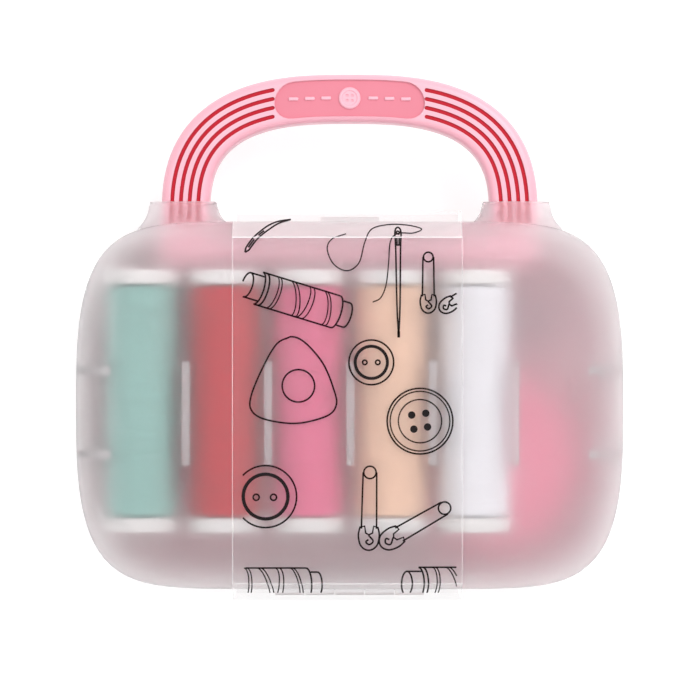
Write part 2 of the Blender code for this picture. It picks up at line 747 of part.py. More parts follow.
def bow(name, side, tang_low, parent):
    """A finger bow: a round ring with a shank that holds the blade's tang."""
    centre = (side * (BOW_RADIUS + TOUCH_GAP), -BOW_DISTANCE)
    low, high = TOOL_Z, TOOL_Z + BOW_THICK
    disc = plate(name, [ring_points(centre, BOW_RADIUS, 28)], low, high)
    made = sub_part(name, disc, tool_pink(), parent)
    ends = sorted((side * SHANK_NEAR, side * BOW_RADIUS))
    shank = cutter(f"{name}_shank", boxes("shank", [
        ((ends[0], -BOW_DISTANCE + SHANK_ROOT, low), (ends[1], -SHANK_START, high)),
    ]))
    inside = ring_points(centre, BOW_RADIUS - BOW_BAND, 24)
    hole = cutter(f"{name}_hole", plate("hole", [inside], low - CUT, high + CUT))
    spot = side * BOW_RADIUS * 0.5
    tang = cutter(f"{name}_tang_slot", boxes("slot", [(
        (spot - TANG_ROOM, -TANG_LENGTH - TOUCH_GAP, tang_low - TOUCH_GAP),
        (spot + TANG_ROOM, 0, tang_low + BLADE_THICK + TOUCH_GAP),
    )]))
    for tool in (shank, hole, tang):
        tool.parent = parent
    combine(made, "UNION", shank)
    combine(made, "DIFFERENCE", hole, tang)


def make_scissors():
    place = bpy.data.objects.new("scissors_pivot", None)
    place.location = (*SCISSORS_PIVOT, 0)
    place.rotation_euler = (0, 0, SCISSORS_TILT)
    parts.objects.link(place)
    place.parent = body_frame
    middle = TOOL_Z + BOW_THICK / 2
    lower = middle - TOUCH_GAP / 2 - BLADE_THICK
    upper = middle + TOUCH_GAP / 2
    blade("scissors_lower_blade", -1, lower, place)
    blade("scissors_upper_blade", 1, upper, place)
    bow("scissors_lower_bow", -1, lower, place)
    bow("scissors_upper_bow", 1, upper, place)
    top = upper + BLADE_THICK + TOUCH_GAP
    foot = lower - TOUCH_GAP
    rivet = [
        (0, top + RIVET_HEIGHT), (RIVET_HEAD, top + RIVET_HEIGHT / 2), (RIVET_HEAD, top),
        (RIVET_RADIUS, top), (RIVET_RADIUS, foot), (RIVET_HEAD, foot), (RIVET_HEAD, TOOL_Z), (0, TOOL_Z),
    ]
    turned("scissors_rivet", rivet, steel(), place, sides=16)


def make_needle_tube():
    place = bpy.data.objects.new("needle_tube_axis", None)
    place.location = (*TUBE_CENTRE, TOOL_Z + TUBE_RADIUS + TUBE_LIFT)
    place.rotation_euler = (0, math.radians(90), 0)
    parts.objects.link(place)
    place.parent = body_frame
    half = TUBE_LENGTH / 2
    bore = TUBE_RADIUS - TUBE_WALL
    tube = [
        (TUBE_RADIUS, half), (TUBE_RADIUS, -half), (0, -half), (0, -half + TUBE_WALL),
        (bore, -half + TUBE_WALL), (bore, half),
    ]
    clear = material("needle_tube_clear", (0.9, 0.92, 0.95), 0.1, alpha=0.4)
    turned("needle_tube", tube + tube[:1], clear, place, sides=16)
    start = half + TOUCH_GAP
    end = start + TUBE_CAP
    plug = bore - TOUCH_GAP
    cap = [
        (0, end), (TUBE_RADIUS - TUBE_EDGE, end), (TUBE_RADIUS, end - TUBE_EDGE), (TUBE_RADIUS, start),
        (plug, start), (plug, start - TUBE_PLUG), (0, start - TUBE_PLUG),
    ]
    turned("needle_tube_cap", cap, tool_pink(), place, sides=16)
    spread = bore * 0.5
    length = TUBE_LENGTH - NEEDLE_SHORTER
    for i in range(NEEDLE_COUNT):
        angle = 2 * math.pi * i / NEEDLE_COUNT
        spot = (spread * math.cos(angle), spread * math.sin(angle), -NEEDLE_DROP)
        point = NEEDLE_RADIUS * 0.3
        shaft = [
            (0, length / 2), (NEEDLE_RADIUS, length / 2), (NEEDLE_RADIUS, -length / 4),
            (point, -length / 2), (0, -length / 2),
        ]
        turned(f"needle_{i + 1}", shaft, steel(), place, spot, sides=8)


# The display sleeve

def make_sleeve():
    """A creased film tube round the box, resting on its faces, the hinge and the latch."""
    face = HALF_DEPTH + FILM_CLEAR
    corners = [
        (FILM_CREASE_TOP, face), (FILM_HIGH, FILM_FLAT), (FILM_HIGH, -FILM_FLAT), (FILM_CREASE_TOP, -face),
        (-FILM_CREASE_LOW, -face), (FILM_LOW, -FILM_FLAT), (FILM_LOW, FILM_FLAT), (-FILM_CREASE_LOW, face),
    ]
    bm = bmesh.new()
    ends = (-FILM_HALF_WIDTH, FILM_HALF_WIDTH)
    rows = [[bm.verts.new((x, y, MID_Z + z)) for y, z in corners] for x in ends]
    for i in range(len(corners)):
        j = (i + 1) % len(corners)
        bm.faces.new((rows[0][i], rows[1][i], rows[1][j], rows[0][j]))
    mesh = bpy.data.meshes.new("display_sleeve")
    bmesh.ops.recalc_face_normals(bm, faces=bm.faces)
    bm.to_mesh(mesh)
    bm.free()
    film = sub_part("display_sleeve", mesh, material("clear_film", (0.95, 0.95, 0.96), 0.08, alpha=0.2))
    skin = film.modifiers.new("film", "SOLIDIFY")
    skin.thickness = FILM
    skin.offset = 1
    skin.use_even_offset = True


make_shells()
make_hinge_pin()
make_handle()
make_spools()
make_tray()
make_tape_measure()
make_scissors()
make_needle_tube()
make_sleeve()
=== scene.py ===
import json
import math

import bmesh
import bpy
import numpy as np
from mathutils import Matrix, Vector


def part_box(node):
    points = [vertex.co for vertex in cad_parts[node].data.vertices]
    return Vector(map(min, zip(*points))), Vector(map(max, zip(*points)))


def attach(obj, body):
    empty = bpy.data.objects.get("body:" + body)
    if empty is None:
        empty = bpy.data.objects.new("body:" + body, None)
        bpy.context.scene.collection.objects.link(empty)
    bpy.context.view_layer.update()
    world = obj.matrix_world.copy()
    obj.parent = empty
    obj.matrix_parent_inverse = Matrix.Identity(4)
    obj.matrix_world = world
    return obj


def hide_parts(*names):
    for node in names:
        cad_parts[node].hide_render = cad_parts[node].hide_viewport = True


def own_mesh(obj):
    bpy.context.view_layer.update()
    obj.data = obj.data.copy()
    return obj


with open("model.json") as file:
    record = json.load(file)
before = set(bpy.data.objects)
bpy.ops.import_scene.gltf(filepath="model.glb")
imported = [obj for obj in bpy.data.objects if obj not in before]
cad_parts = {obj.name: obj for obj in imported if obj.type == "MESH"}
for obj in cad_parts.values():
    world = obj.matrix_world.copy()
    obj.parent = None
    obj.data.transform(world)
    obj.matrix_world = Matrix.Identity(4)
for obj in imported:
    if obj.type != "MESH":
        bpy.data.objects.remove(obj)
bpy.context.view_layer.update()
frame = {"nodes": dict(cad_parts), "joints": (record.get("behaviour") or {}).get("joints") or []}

bpy.ops.object.select_all(action="DESELECT")

# Sizes in metres. Places are worked out from the frame's hinge and from the boxes of its pieces.
hinge = next(joint for joint in frame["joints"] if joint["name"] == "lid_hinge")
HINGE_Y, MIDDLE = hinge["pos_m"][1:]
SEAM = 0.0003                                  # play between two pieces
WALL = 0.0013
HALF_WIDTH, HALF_HEIGHT, HALF_DEPTH = 0.07485, 0.0503, 0.0220
CENTRE_Y = HINGE_Y + HALF_HEIGHT + SEAM
SIDE_POWER, TOP_POWER = 7.8, 3.07              # how square the outline is at the sides and at the top
EDGE_RADIUS = 0.0100

# Hinge, latch and the ribs inside the front.
KNUCKLES, KNUCKLE_LENGTH, KNUCKLE_RADIUS = 5, 0.0080, 0.0022
RELIEF_RADIUS, BORE_RADIUS, BORE_REACH = 0.0025, 0.0011, 0.04
LATCH_HALF, TAB_HALF, WINDOW_HALF, NUB_HALF = 0.0080, 0.0078, 0.0050, 0.0047
TAB_THICK, TAB_REACH = 0.0012, 0.0052
RIBS, RIB_PITCH, RIB_SHIFT = 5, 0.0223, 0.0002
RIB_HALF, RIB_LOW, RIB_HIGH, RIB_DEPTH = 0.0011, 0.0162, 0.0120, 0.0045
SIDE_RIBS, SIDE_RIB_HALF, SIDE_RIB_END = (0.0096, -0.0132), 0.00105, 0.0648
END_BAY_X, END_BAY_RADIUS = 0.05675, 0.0109

# Handle and the collars that its legs pass through.
ARCH_TOP, ARCH_SPRING, ARCH_HALF_SPAN, ARCH_POWER = 0.0846, 0.0508, 0.0454, 2.79
BAND, BAND_THICK, BAND_EDGE = 0.0132, 0.0110, 0.0021
SKIN = 0.0020                                  # thickness of a cover's face
COVER_SIDE, CORE_INSET, CORE_EDGE = 0.0016, 0.0019, 0.0006
SLOT_PITCH, SLOT_WIDTH, SLOT_END, SLOT_LOW = 0.0024, 0.0011, 0.0212, 0.0495
PANEL_HALF, PANEL_HEIGHT, PANEL_DEPTH = 0.0208, 0.0102, 0.0008
STITCH_START, STITCH_PITCH, STITCH_HALF, STITCH_DROP = 0.0065, 0.0045, 0.0014, 0.00012
BAR_MIDDLE, BAR_HALF = 0.0428, 0.0042
COLLAR_X, COLLAR_TOP, COLLAR_HEIGHT = 0.0460, 0.0559, 0.0074
COLLAR_HALF, COLLAR_DEPTH, COLLAR_CORNER, COLLAR_LIP = 0.0093, 0.0096, 0.0045, 0.0004
COLLAR_ROOT = HALF_HEIGHT - 0.006
FLARE_OUT, FLARE_IN, FLARE_FRONT, FLARE_POWER = 0.0030, 0.0054, 0.0026, 2.4

# Spools.
SPOOLS = ("mint", "red", "rose", "beige", "white")
FLANGE, FLANGE_EDGE, CORE_RADIUS, EYE_RADIUS = 0.0040, 0.0003, 0.0062, 0.0018

# Sleeve and its print. The print is drawn in millimetres from the box's centre.
FILM_LEFT, FILM_RIGHT, FILM_END, FILM_SLOPE = -0.0318, 0.0305, 0.0531, 0.0125
FILM_HALF_THICK = 0.00015
CREASE_TOP, CREASE_LOW = 0.0456, 0.0481
INK_THICK = 0.00003
PRINT_LEFT, PRINT_RIGHT, PRINT_LOW = -29.6, 29.7, -52.6
PRINT_SCALE, PRINT_RISE = 0.9755, 0.37

# Camera: straight above the box, with this much of its middle plane across the frame.
CAMERA_HEIGHT, FRAME_WIDTH, SENSOR = 0.90, 0.1941, 36


# ---------------------------------------------------------------- modelling

def rest():
    """Leaves edit mode with nothing selected."""
    if bpy.context.mode != "OBJECT":
        bpy.ops.object.mode_set(mode="OBJECT")
    bpy.ops.object.select_all(action="DESELECT")


def pick(piece):
    """Makes a piece the only one selected, and the active one."""
    rest()
    piece.select_set(True)
    bpy.context.view_layer.objects.active = piece


def smooth(piece, angle=35):
    pick(piece)
    bpy.ops.object.shade_smooth_by_angle(angle=math.radians(angle))


def outward(piece):
    """Turns every face of a piece to its outside."""
    pick(piece)
    bpy.ops.object.mode_set(mode="EDIT")
    bpy.ops.mesh.select_all(action="SELECT")
    bpy.ops.mesh.normals_make_consistent(inside=False)
    rest()


def place_selected(piece, old, new):
    """Moves the selected points, which lie on the old ring, to the new one."""
    bm = bmesh.from_edit_mesh(piece.data)
    for vert in bm.verts:
        if vert.select:
            nearest = int(np.argmin(((old - np.array(vert.co)) ** 2).sum(1)))
            vert.co = new[nearest]
    bmesh.update_edit_mesh(piece.data)


def pull(name, rings, ends="fill"):
    """A circle drawn to the first ring and extruded from ring to ring.

    The ends are filled, left open, or joined to each other."""
    rest()
    rings = [np.array(ring, float) for ring in rings]
    bpy.ops.mesh.primitive_circle_add(vertices=len(rings[0]), radius=1)
    piece = bpy.context.object
    piece.name = piece.data.name = name
    piece.data.vertices.foreach_set("co", rings[0].ravel())
    bpy.ops.object.mode_set(mode="EDIT")
    bpy.ops.mesh.select_all(action="SELECT")
    for old, new in zip(rings, rings[1:]):
        bpy.ops.mesh.extrude_region_move()
        place_selected(piece, old, new)
    if ends == "fill":
        bpy.ops.mesh.edge_face_add()
        bpy.ops.mesh.select_all(action="DESELECT")
        bpy.ops.mesh.select_non_manifold()
        bpy.ops.mesh.edge_face_add()
    if ends == "join":
        bpy.ops.mesh.select_all(action="DESELECT")
        bpy.ops.mesh.select_non_manifold()
        bpy.ops.mesh.bridge_edge_loops()
    if ends != "open":
        bpy.ops.mesh.select_all(action="SELECT")
        bpy.ops.mesh.normals_make_consistent(inside=False)
    rest()
    return piece


def cut(piece, operation, *tools):
    """Joins or cuts with other pieces, which are used up."""
    for tool in tools:
        step = piece.modifiers.new("cut", "BOOLEAN")
        step.operation = operation
        step.object = tool
        pick(piece)
        bpy.ops.object.modifier_apply(modifier=step.name)
        bpy.data.objects.remove(tool, do_unlink=True)
    return piece


def together(name, pieces):
    """Joins pieces that overlap or lie apart into one object."""
    rest()
    for piece in pieces:
        piece.select_set(True)
    bpy.context.view_layer.objects.active = pieces[0]
    bpy.ops.object.join()
    pieces[0].name = pieces[0].data.name = name
    return pieces[0]


def modified(piece, kind, **settings):
    """Puts one modifier on a piece and applies it."""
    step = piece.modifiers.new(kind.lower(), kind)
    for key, value in settings.items():
        setattr(step, key, value)
    pick(piece)
    bpy.ops.object.modifier_apply(modifier=step.name)
    return piece


def finish(piece, material, body, replaced=None, angle=35):
    """Smooths a piece, gives it its material, and fixes it to the body that carries it."""
    smooth(piece, angle)
    piece.data.materials.clear()
    piece.data.materials.append(material)
    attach(piece, body)
    if replaced:
        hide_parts(replaced)
    return piece


def block(name, low, high):
    """A block between two opposite corners."""
    rest()
    middle = [(a + b) / 2 for a, b in zip(low, high)]
    bpy.ops.mesh.primitive_cube_add(size=1, location=middle)
    piece = bpy.context.object
    piece.name = piece.data.name = name
    piece.scale = [b - a for a, b in zip(low, high)]
    bpy.ops.object.transform_apply(location=True, rotation=True, scale=True)
    return piece


def rod(name, radius, start, stop, sides=32):
    """A rod between two points on a line along X, Y or Z."""
    rest()
    start, stop = Vector(start), Vector(stop)
    turn = (stop - start).to_track_quat("Z", "Y").to_euler()
    bpy.ops.mesh.primitive_cylinder_add(
        vertices=sides, radius=radius, depth=(stop - start).length,
        location=(start + stop) / 2, rotation=turn)
    piece = bpy.context.object
    piece.name = piece.data.name = name
    bpy.ops.object.transform_apply(location=True, rotation=True, scale=True)
    return piece


def turned(name, profile, centre, axis, sides=64, ends="join"):
    """A turned piece: rings of (radius, distance along the axis) round a centre."""
    rings = []
    for radius, along in profile:
        ring = []
        for i in range(sides):
            angle = 2 * math.pi * i / sides
            across = (radius * math.cos(angle), radius * math.sin(angle))
            spot = {
                "X": (along, across[0], across[1]),
                "Y": (across[0], along, across[1]),
                "Z": (across[0], across[1], along),
            }[axis]
            ring.append([c + s for c, s in zip(centre, spot)])
        rings.append(ring)
    return pull(name, rings, ends)


# ---------------------------------------------------------------- materials

class Value:
    """A socket that Python's operators turn into Math nodes."""

    def __init__(self, tree, socket):
        self.tree, self.socket = tree, socket

    def _math(self, operation, first, second=None):
        """Adds one Math node, whose terms are values or plain numbers."""
        node = self.tree.nodes.new("ShaderNodeMath")
        node.operation = operation
        for slot, term in zip(node.inputs, (first, second)):
            if isinstance(term, Value):
                self.tree.links.new(term.socket, slot)
            elif term is not None:
                slot.default_value = term
        return Value(self.tree, node.outputs[0])

    def __add__(self, other):
        return self._math("ADD", self, other)

    def __radd__(self, other):
        return self._math("ADD", other, self)

    def __sub__(self, other):
        return self._math("SUBTRACT", self, other)

    def __rsub__(self, other):
        return self._math("SUBTRACT", other, self)

    def __mul__(self, other):
        return self._math("MULTIPLY", self, other)

    def __rmul__(self, other):
        return self._math("MULTIPLY", other, self)

    def __gt__(self, other):
        return self._math("GREATER_THAN", self, other)

    def __lt__(self, other):
        return self._math("LESS_THAN", self, other)

    def sine(self):
        return self._math("SINE", self)


class Finish:
    """A Principled material whose nodes are added one by one."""

    def __init__(self, name, colour, roughness=0.5, **constants):
        self.material = bpy.data.materials.new(name)
        self.material.use_nodes = True
        self.tree = self.material.node_tree
        self.shader = self.tree.nodes["Principled BSDF"]
        self.shader.inputs["Base Color"].default_value = (*colour, 1)
        self.shader.inputs["Roughness"].default_value = roughness
        for key, value in constants.items():
            self.shader.inputs[key.replace("_", " ")].default_value = value
        self.place = self.node("ShaderNodeTexCoord", out="Object")

    def node(self, kind, settings=None, out=0, **inputs):
        """Adds a node. Inputs go by name, or by number as in _6."""
        made = self.tree.nodes.new(kind)
        for key, value in (settings or {}).items():
            setattr(made, key, value)
        for key, value in inputs.items():
            slot = made.inputs[int(key[1:]) if key[0] == "_" else key]
            if isinstance(value, Value):
                self.tree.links.new(value.socket, slot)
            else:
                slot.default_value = value
        return Value(self.tree, made.outputs[out])

    def axes(self):
        split = self.node("ShaderNodeSeparateXYZ", Vector=self.place)
        node = split.socket.node
        return [Value(self.tree, node.outputs[i]) for i in range(3)]

    def scaled(self, x, y, z):
        return self.node("ShaderNodeMapping", Vector=self.place, Scale=(x, y, z))

    def noise(self, scale, detail=3.0, vector=None):
        return self.node("ShaderNodeTexNoise", Vector=vector or self.place, Scale=scale, Detail=detail)

    def tint(self, factor, low, high):
        return self.node("ShaderNodeMix", {"data_type": "RGBA"}, out=2, Factor=factor,
                         _6=(*low, 1), _7=(*high, 1))

    def feed(self, name, value):
        self.tree.links.new(value.socket, self.shader.inputs[name])

    def bump(self, height, strength, distance=0.0001):
        raised = self.node("ShaderNodeBump", Height=height, Strength=strength, Distance=distance)
        self.feed("Normal", raised)

    def vary_roughness(self, base, spread, scale=300):
        self.feed("Roughness", self.noise(scale) * (2 * spread) + (base - spread))


def satin_plastic(name, colour, shade=0.93, roughness=0.42, **constants):
    """Moulded plastic: a fine spark-eroded grain and a slight drift of colour."""
    made = Finish(name, colour, roughness, **constants)
    darker = tuple(c * shade for c in colour)
    made.feed("Base Color", made.tint(made.noise(90), darker, colour))
    made.vary_roughness(roughness, 0.05, 500)
    made.bump(made.noise(9000, 2.0), 0.10, 0.00004)
    return made.material


def frosted_shell():
    """Milky polypropylene that light passes through softly, with a fine matt grain."""
    made = Finish("frosted polypropylene", (0.98, 0.965, 0.97), 0.64, IOR=1.34, Transmission_Weight=0.98,
                  Coat_Weight=0.3, Coat_Roughness=0.32)
    made.feed("Base Color", made.tint(made.noise(45), (0.97, 0.955, 0.96), (0.99, 0.975, 0.98)))
    made.vary_roughness(0.64, 0.03, 120)
    made.bump(made.noise(7000, 2.0), 0.12, 0.00003)
    return made.material


def milky_rib():
    """The same plastic where it is thick, so that it looks whiter."""
    made = Finish("milky thick polypropylene", (0.91, 0.88, 0.89), 0.5, IOR=1.36, Transmission_Weight=0.68)
    made.feed("Base Color", made.tint(made.noise(45), (0.88, 0.85, 0.86), (0.93, 0.90, 0.91)))
    made.vary_roughness(0.5, 0.04, 200)
    return made.material


def wound_thread(name, colour):
    """Thread wound in close crossing turns round a spool that lies along Y."""
    made = Finish(name, colour, 0.75, Sheen_Weight=0.35, Sheen_Roughness=0.4)
    x, y, z = made.axes()
    lean = (x * 260).sine() * 0.8
    turns = (y * 14000 + lean * 6).sine()
    layers = made.noise(60, 2.0, made.scaled(0.6, 9, 0.6))
    fibre = made.noise(3000, 2.0)
    dark = tuple(c * 0.72 for c in colour)
    made.feed("Base Color", made.tint((turns * 0.18 + layers * 0.8 + fibre * 0.25), dark, colour))
    made.vary_roughness(0.75, 0.08, 900)
    made.bump(turns * 0.6 + fibre * 0.8, 0.6, 0.00008)
    return made.material


def ground_steel():
    """Steel with fine grinding lines."""
    made = Finish("ground steel", (0.78, 0.78, 0.80), 0.24, Metallic=1.0)
    lines = made.noise(400, 3.0, made.scaled(1, 18, 1))
    made.feed("Base Color", made.tint(lines, (0.68, 0.68, 0.70), (0.84, 0.84, 0.86)))
    made.feed("Roughness", lines * 0.16 + 0.14)
    made.bump(lines, 0.25, 0.00002)
    return made.material


def clear_film():
    """Thin clear film, painted whiter on its slopes past the creases to stand in for the stronger
    reflection there.
    """
    made = Finish("clear film", (1.0, 0.99, 0.99), 0.08, IOR=1.5)
    x, y, z = made.axes()
    # Painted reflection: a whiter veil on both slopes stands in for the brighter reflection their angle
    # catches.
    painted_slope_reflection = (y > CENTRE_Y + CREASE_TOP) * 0.19 + (y < CENTRE_Y - CREASE_LOW) * 0.08
    made.feed("Alpha", painted_slope_reflection + made.noise(90, 2.0) * 0.012 + 0.008)
    made.bump(made.noise(120, 2.0), 0.05, 0.0002)
    made.vary_roughness(0.08, 0.03, 60)
    return made.material


def crease_highlight_and_edge():
    """White beads: a painted highlight along the film's folds, and the whitish cut edges of the film."""
    made = Finish("stress-whitened crease", (0.97, 0.96, 0.97), 0.35, Coat_Weight=0.4)
    made.feed("Base Color", made.tint(made.noise(700), (0.92, 0.90, 0.91), (1.0, 0.99, 1.0)))
    made.feed("Alpha", made.noise(60) * 0.7 + 0.2)
    made.vary_roughness(0.35, 0.08, 400)
    return made.material


def printing_ink():
    made = Finish("black printing ink", (0.008, 0.006, 0.006), 0.6, Specular_IOR_Level=0.15)
    made.feed("Base Color", made.tint(made.noise(1500), (0.003, 0.002, 0.002), (0.014, 0.009, 0.010)))
    made.vary_roughness(0.55, 0.1, 800)
    return made.material


def tape_cloth():
    made = Finish("coated tape", (0.93, 0.90, 0.82), 0.55)
    weave = made.noise(1200, 2.0)
    made.feed("Base Color", made.tint(weave, (0.86, 0.82, 0.72), (0.95, 0.93, 0.86)))
    made.vary_roughness(0.55, 0.08, 900)
    made.bump(weave, 0.2, 0.00004)
    return made.material


FROSTED = frosted_shell()
MILKY = milky_rib()
HANDLE_PINK = satin_plastic("handle pink", (0.90, 0.45, 0.54), Coat_Weight=0.4, Coat_Roughness=0.25)
# Darker pink for the panel's recess floor: painted shade inside the recess.
PANEL_PINK_RECESS_SHADE = satin_plastic("panel pink", (0.74, 0.21, 0.28))
HANDLE_RED = satin_plastic("handle red", (0.50, 0.006, 0.022), Specular_IOR_Level=0.2)
SPOOL_WHITE = satin_plastic("spool white", (0.76, 0.75, 0.74), 0.97)
TOOL_PINK = satin_plastic("tool pink", (0.88, 0.24, 0.36), 0.9, 0.30, Coat_Weight=0.2)
# The tray's own pink, darkened as painted shade for the deep cavity it lies in.
TRAY_PINK_SHADED = satin_plastic("tray pink", (0.70, 0.47, 0.51), 0.96, 0.4)
NEEDLE_CLEAR = satin_plastic(
    "needle tube clear", (0.95, 0.96, 0.98), 0.99, 0.08, Transmission_Weight=0.9, IOR=1.3)
STEEL = ground_steel()
FILM = clear_film()
# Painted highlight for the sleeve's folds, also used for its whitish cut edges.
CREASE_HIGHLIGHT_AND_EDGE = crease_highlight_and_edge()
INK = printing_ink()
TAPE = tape_cloth()
THREADS = {
    "mint": wound_thread("mint thread", (0.30, 0.56, 0.51)),
    "red": wound_thread("red thread", (0.60, 0.001, 0.022)),
    "rose": wound_thread("rose thread", (0.84, 0.12, 0.28)),
    "beige": wound_thread("beige thread", (0.93, 0.60, 0.42)),
    "white": wound_thread("white thread", (0.90, 0.90, 0.94)),
}


# ---------------------------------------------------------------- the shells

def signed_power(value, power):
    """A power that keeps the sign, for bowed outlines."""
    return np.sign(value) * np.abs(value) ** power


def outline(inset, count=176):
    """The body's bowed outline, drawn in by an inset, with evenly spaced points."""
    angle = np.linspace(0, 2 * np.pi, 4001)
    x = (HALF_WIDTH - inset) * signed_power(np.cos(angle), 2 / SIDE_POWER)
    y = (HALF_HEIGHT - inset) * signed_power(np.sin(angle), 2 / TOP_POWER)
    run = np.concatenate([[0], np.cumsum(np.hypot(np.diff(x), np.diff(y)))])
    spots = np.linspace(0, run[-1], count, endpoint=False)
    return np.interp(spots, run, x), np.interp(spots, run, y) + CENTRE_Y


def half_body(name, inset, start, side, steps=12):
    """Half the body: a straight rim, then a quarter round to the flat face."""
    radius = EDGE_RADIUS - inset
    stops = [(0.0, start)]
    for i in range(steps + 1):
        angle = math.pi / 2 * i / steps
        stops.append((radius * (1 - math.cos(angle)), HALF_DEPTH - inset - radius * (1 - math.sin(angle))))
    rings = []
    for drop, depth in stops:
        x, y = outline(inset + drop)
        rings.append(np.stack([x, y, np.full_like(x, MIDDLE + side * depth)], 1))
    return pull(name, rings)


def half_collar(name, inset, side, centre, low, high, start, steps=22):
    """Half of a flared funnel round a leg of the handle."""
    rings = []
    for step in range(steps + 1):
        y = low + (high - low) * step / steps
        fall = min(1.0, max(0.0, (COLLAR_TOP - y) / COLLAR_HEIGHT)) ** FLARE_POWER
        lip = 0 if inset else COLLAR_LIP * max(0.0, 1 - abs(COLLAR_TOP - COLLAR_LIP - y) / (2 * COLLAR_LIP))
        half = COLLAR_HALF - inset - lip
        depth = COLLAR_DEPTH - inset + FLARE_FRONT * fall - lip
        corner = COLLAR_CORNER - inset
        arc = [math.pi / 2 * i / 8 for i in range(9)]
        edge = [(-half + corner * (1 - math.cos(a)), depth - corner * (1 - math.sin(a))) for a in arc]
        edge = [(-half, start), *edge]
        inner = [(-x + FLARE_IN * fall, z) for x, z in reversed(edge)]
        edge = [(x - FLARE_OUT * fall, z) for x, z in edge] + inner
        towards = -math.copysign(1, centre)
        rings.append([(centre + towards * x, CENTRE_Y + y, MIDDLE + side * z) for x, z in edge])
    return pull(name, rings)


def knuckles(name, radius, first, grow=0.0):
    """Every other knuckle along the hinge, each made longer at both ends by grow."""
    pitch = KNUCKLE_LENGTH + SEAM
    whole = KNUCKLES * pitch - SEAM
    rods = []
    for i in range(first, KNUCKLES, 2):
        start = -whole / 2 + i * pitch
        ends = (start - grow, start + KNUCKLE_LENGTH + grow)
        rods.append(rod(name, radius, *[(x, HINGE_Y, MIDDLE) for x in ends], 40))
    return together(name, rods)


def latch(front, back):
    """A tab on the front that hangs over a nub on the back, with a window round the nub."""
    top = CENTRE_Y + HALF_HEIGHT + SEAM
    skin = CENTRE_Y + HALF_HEIGHT - WALL / 2
    root = block("latch_root", (-LATCH_HALF, skin, MIDDLE + SEAM),
                 (LATCH_HALF, top + TAB_THICK, MIDDLE + TAB_REACH))
    tab = block("latch_tab", (-TAB_HALF, top, MIDDLE - TAB_REACH),
                (TAB_HALF, top + TAB_THICK - 0.00002, MIDDLE + TAB_REACH / 2))
    window = block("window", (-WINDOW_HALF, top - 0.001, MIDDLE - 0.0040),
                   (WINDOW_HALF, top + 0.003, MIDDLE - 0.0012))
    nub = block("nub", (-NUB_HALF, skin, MIDDLE - 0.0037), (NUB_HALF, top + 0.0009, MIDDLE - 0.0026))
    cut(front, "UNION", root, tab)
    cut(front, "DIFFERENCE", window)
    cut(back, "UNION", nub)


def side_rib(side, height, spool_z):
    """A short rib between the wall and the spool at one end, trimmed to both."""
    ends = sorted((side * HALF_WIDTH, side * SIDE_RIB_END))
    y = CENTRE_Y + height
    rib = block("side_rib", (ends[0], y - SIDE_RIB_HALF, MIDDLE + 0.002),
                (ends[1], y + SIDE_RIB_HALF, MIDDLE + HALF_DEPTH))
    x = side * END_BAY_X
    room = rod("room", END_BAY_RADIUS, (x, CENTRE_Y - 0.05, spool_z), (x, CENTRE_Y + 0.05, spool_z), 48)
    cut(rib, "INTERSECT", half_body("rib_trim", WALL * 0.8, 0.0, 1, 6))
    return cut(rib, "DIFFERENCE", room)


def spool_ribs():
    """Upright ribs between the spools and short ones at the sides, moulded inside the front."""
    face = MIDDLE + HALF_DEPTH
    made = []
    for i in range(RIBS):
        x = (i - RIBS // 2) * RIB_PITCH + RIB_SHIFT
        rib = block("rib", (x - RIB_HALF, CENTRE_Y - RIB_LOW, face - WALL - RIB_DEPTH),
                    (x + RIB_HALF, CENTRE_Y + RIB_HIGH, face - WALL * 0.8))
        made.append(modified(rib, "BEVEL", width=0.0003, segments=2))
    low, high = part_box("mint_spool_core")
    made += [side_rib(side, height, (low.z + high.z) / 2) for height in SIDE_RIBS for side in (-1, 1)]
    return together("front_ribs", made)


def both_collars(name, inset, side, low, high, start):
    return [half_collar(name, inset, side, x, low, high, start) for x in (-COLLAR_X, COLLAR_X)]


def make_shells():
    """The front and the back shell: hollow halves with collars, knuckles, a latch and ribs."""
    made = {}
    for name, side, first in (("front_shell", 1, 1), ("back_shell", -1, 0)):
        shell = half_body(name + "_skin", 0, SEAM / 2, side)
        cut(shell, "UNION", *both_collars("collar", 0, side, COLLAR_ROOT, COLLAR_TOP, SEAM / 2))
        cut(shell, "DIFFERENCE", half_body("cavity", WALL, -0.001, side))
        cut(shell, "DIFFERENCE",
            *both_collars("passage", WALL, side, COLLAR_ROOT - 0.004, COLLAR_TOP + 0.001, -0.001))
        cut(shell, "UNION", knuckles("knuckles", KNUCKLE_RADIUS, first))
        cut(shell, "DIFFERENCE", knuckles("reliefs", RELIEF_RADIUS, 1 - first, SEAM))
        ends = [(x, HINGE_Y, MIDDLE) for x in (-BORE_REACH, BORE_REACH)]
        cut(shell, "DIFFERENCE", rod("bore", BORE_RADIUS, *ends))
        made[name] = shell
    finish(spool_ribs(), MILKY, "lid")
    latch(made["front_shell"], made["back_shell"])
    finish(made["front_shell"], FROSTED, "lid", "front_shell", 40)
    finish(made["back_shell"], FROSTED, "box", "back_shell", 40)


# ---------------------------------------------------------------- the handle

def arch_point(angle, offset=0.0):
    """A point on the handle's centre curve, moved outwards, and the direction outwards."""
    c, s = math.cos(angle), math.sin(angle)
    x = ARCH_HALF_SPAN * float(signed_power(c, 2 / ARCH_POWER))
    rise = ARCH_TOP - ARCH_SPRING
    y = rise * abs(s) ** (2 / ARCH_POWER)
    nx = math.copysign((abs(x) / ARCH_HALF_SPAN) ** (ARCH_POWER - 1) / ARCH_HALF_SPAN, x)
    ny = (y / rise) ** (ARCH_POWER - 1) / rise
    length = math.hypot(nx, ny)
    return x + offset * nx / length, ARCH_SPRING + y + offset * ny / length, nx / length, ny / length


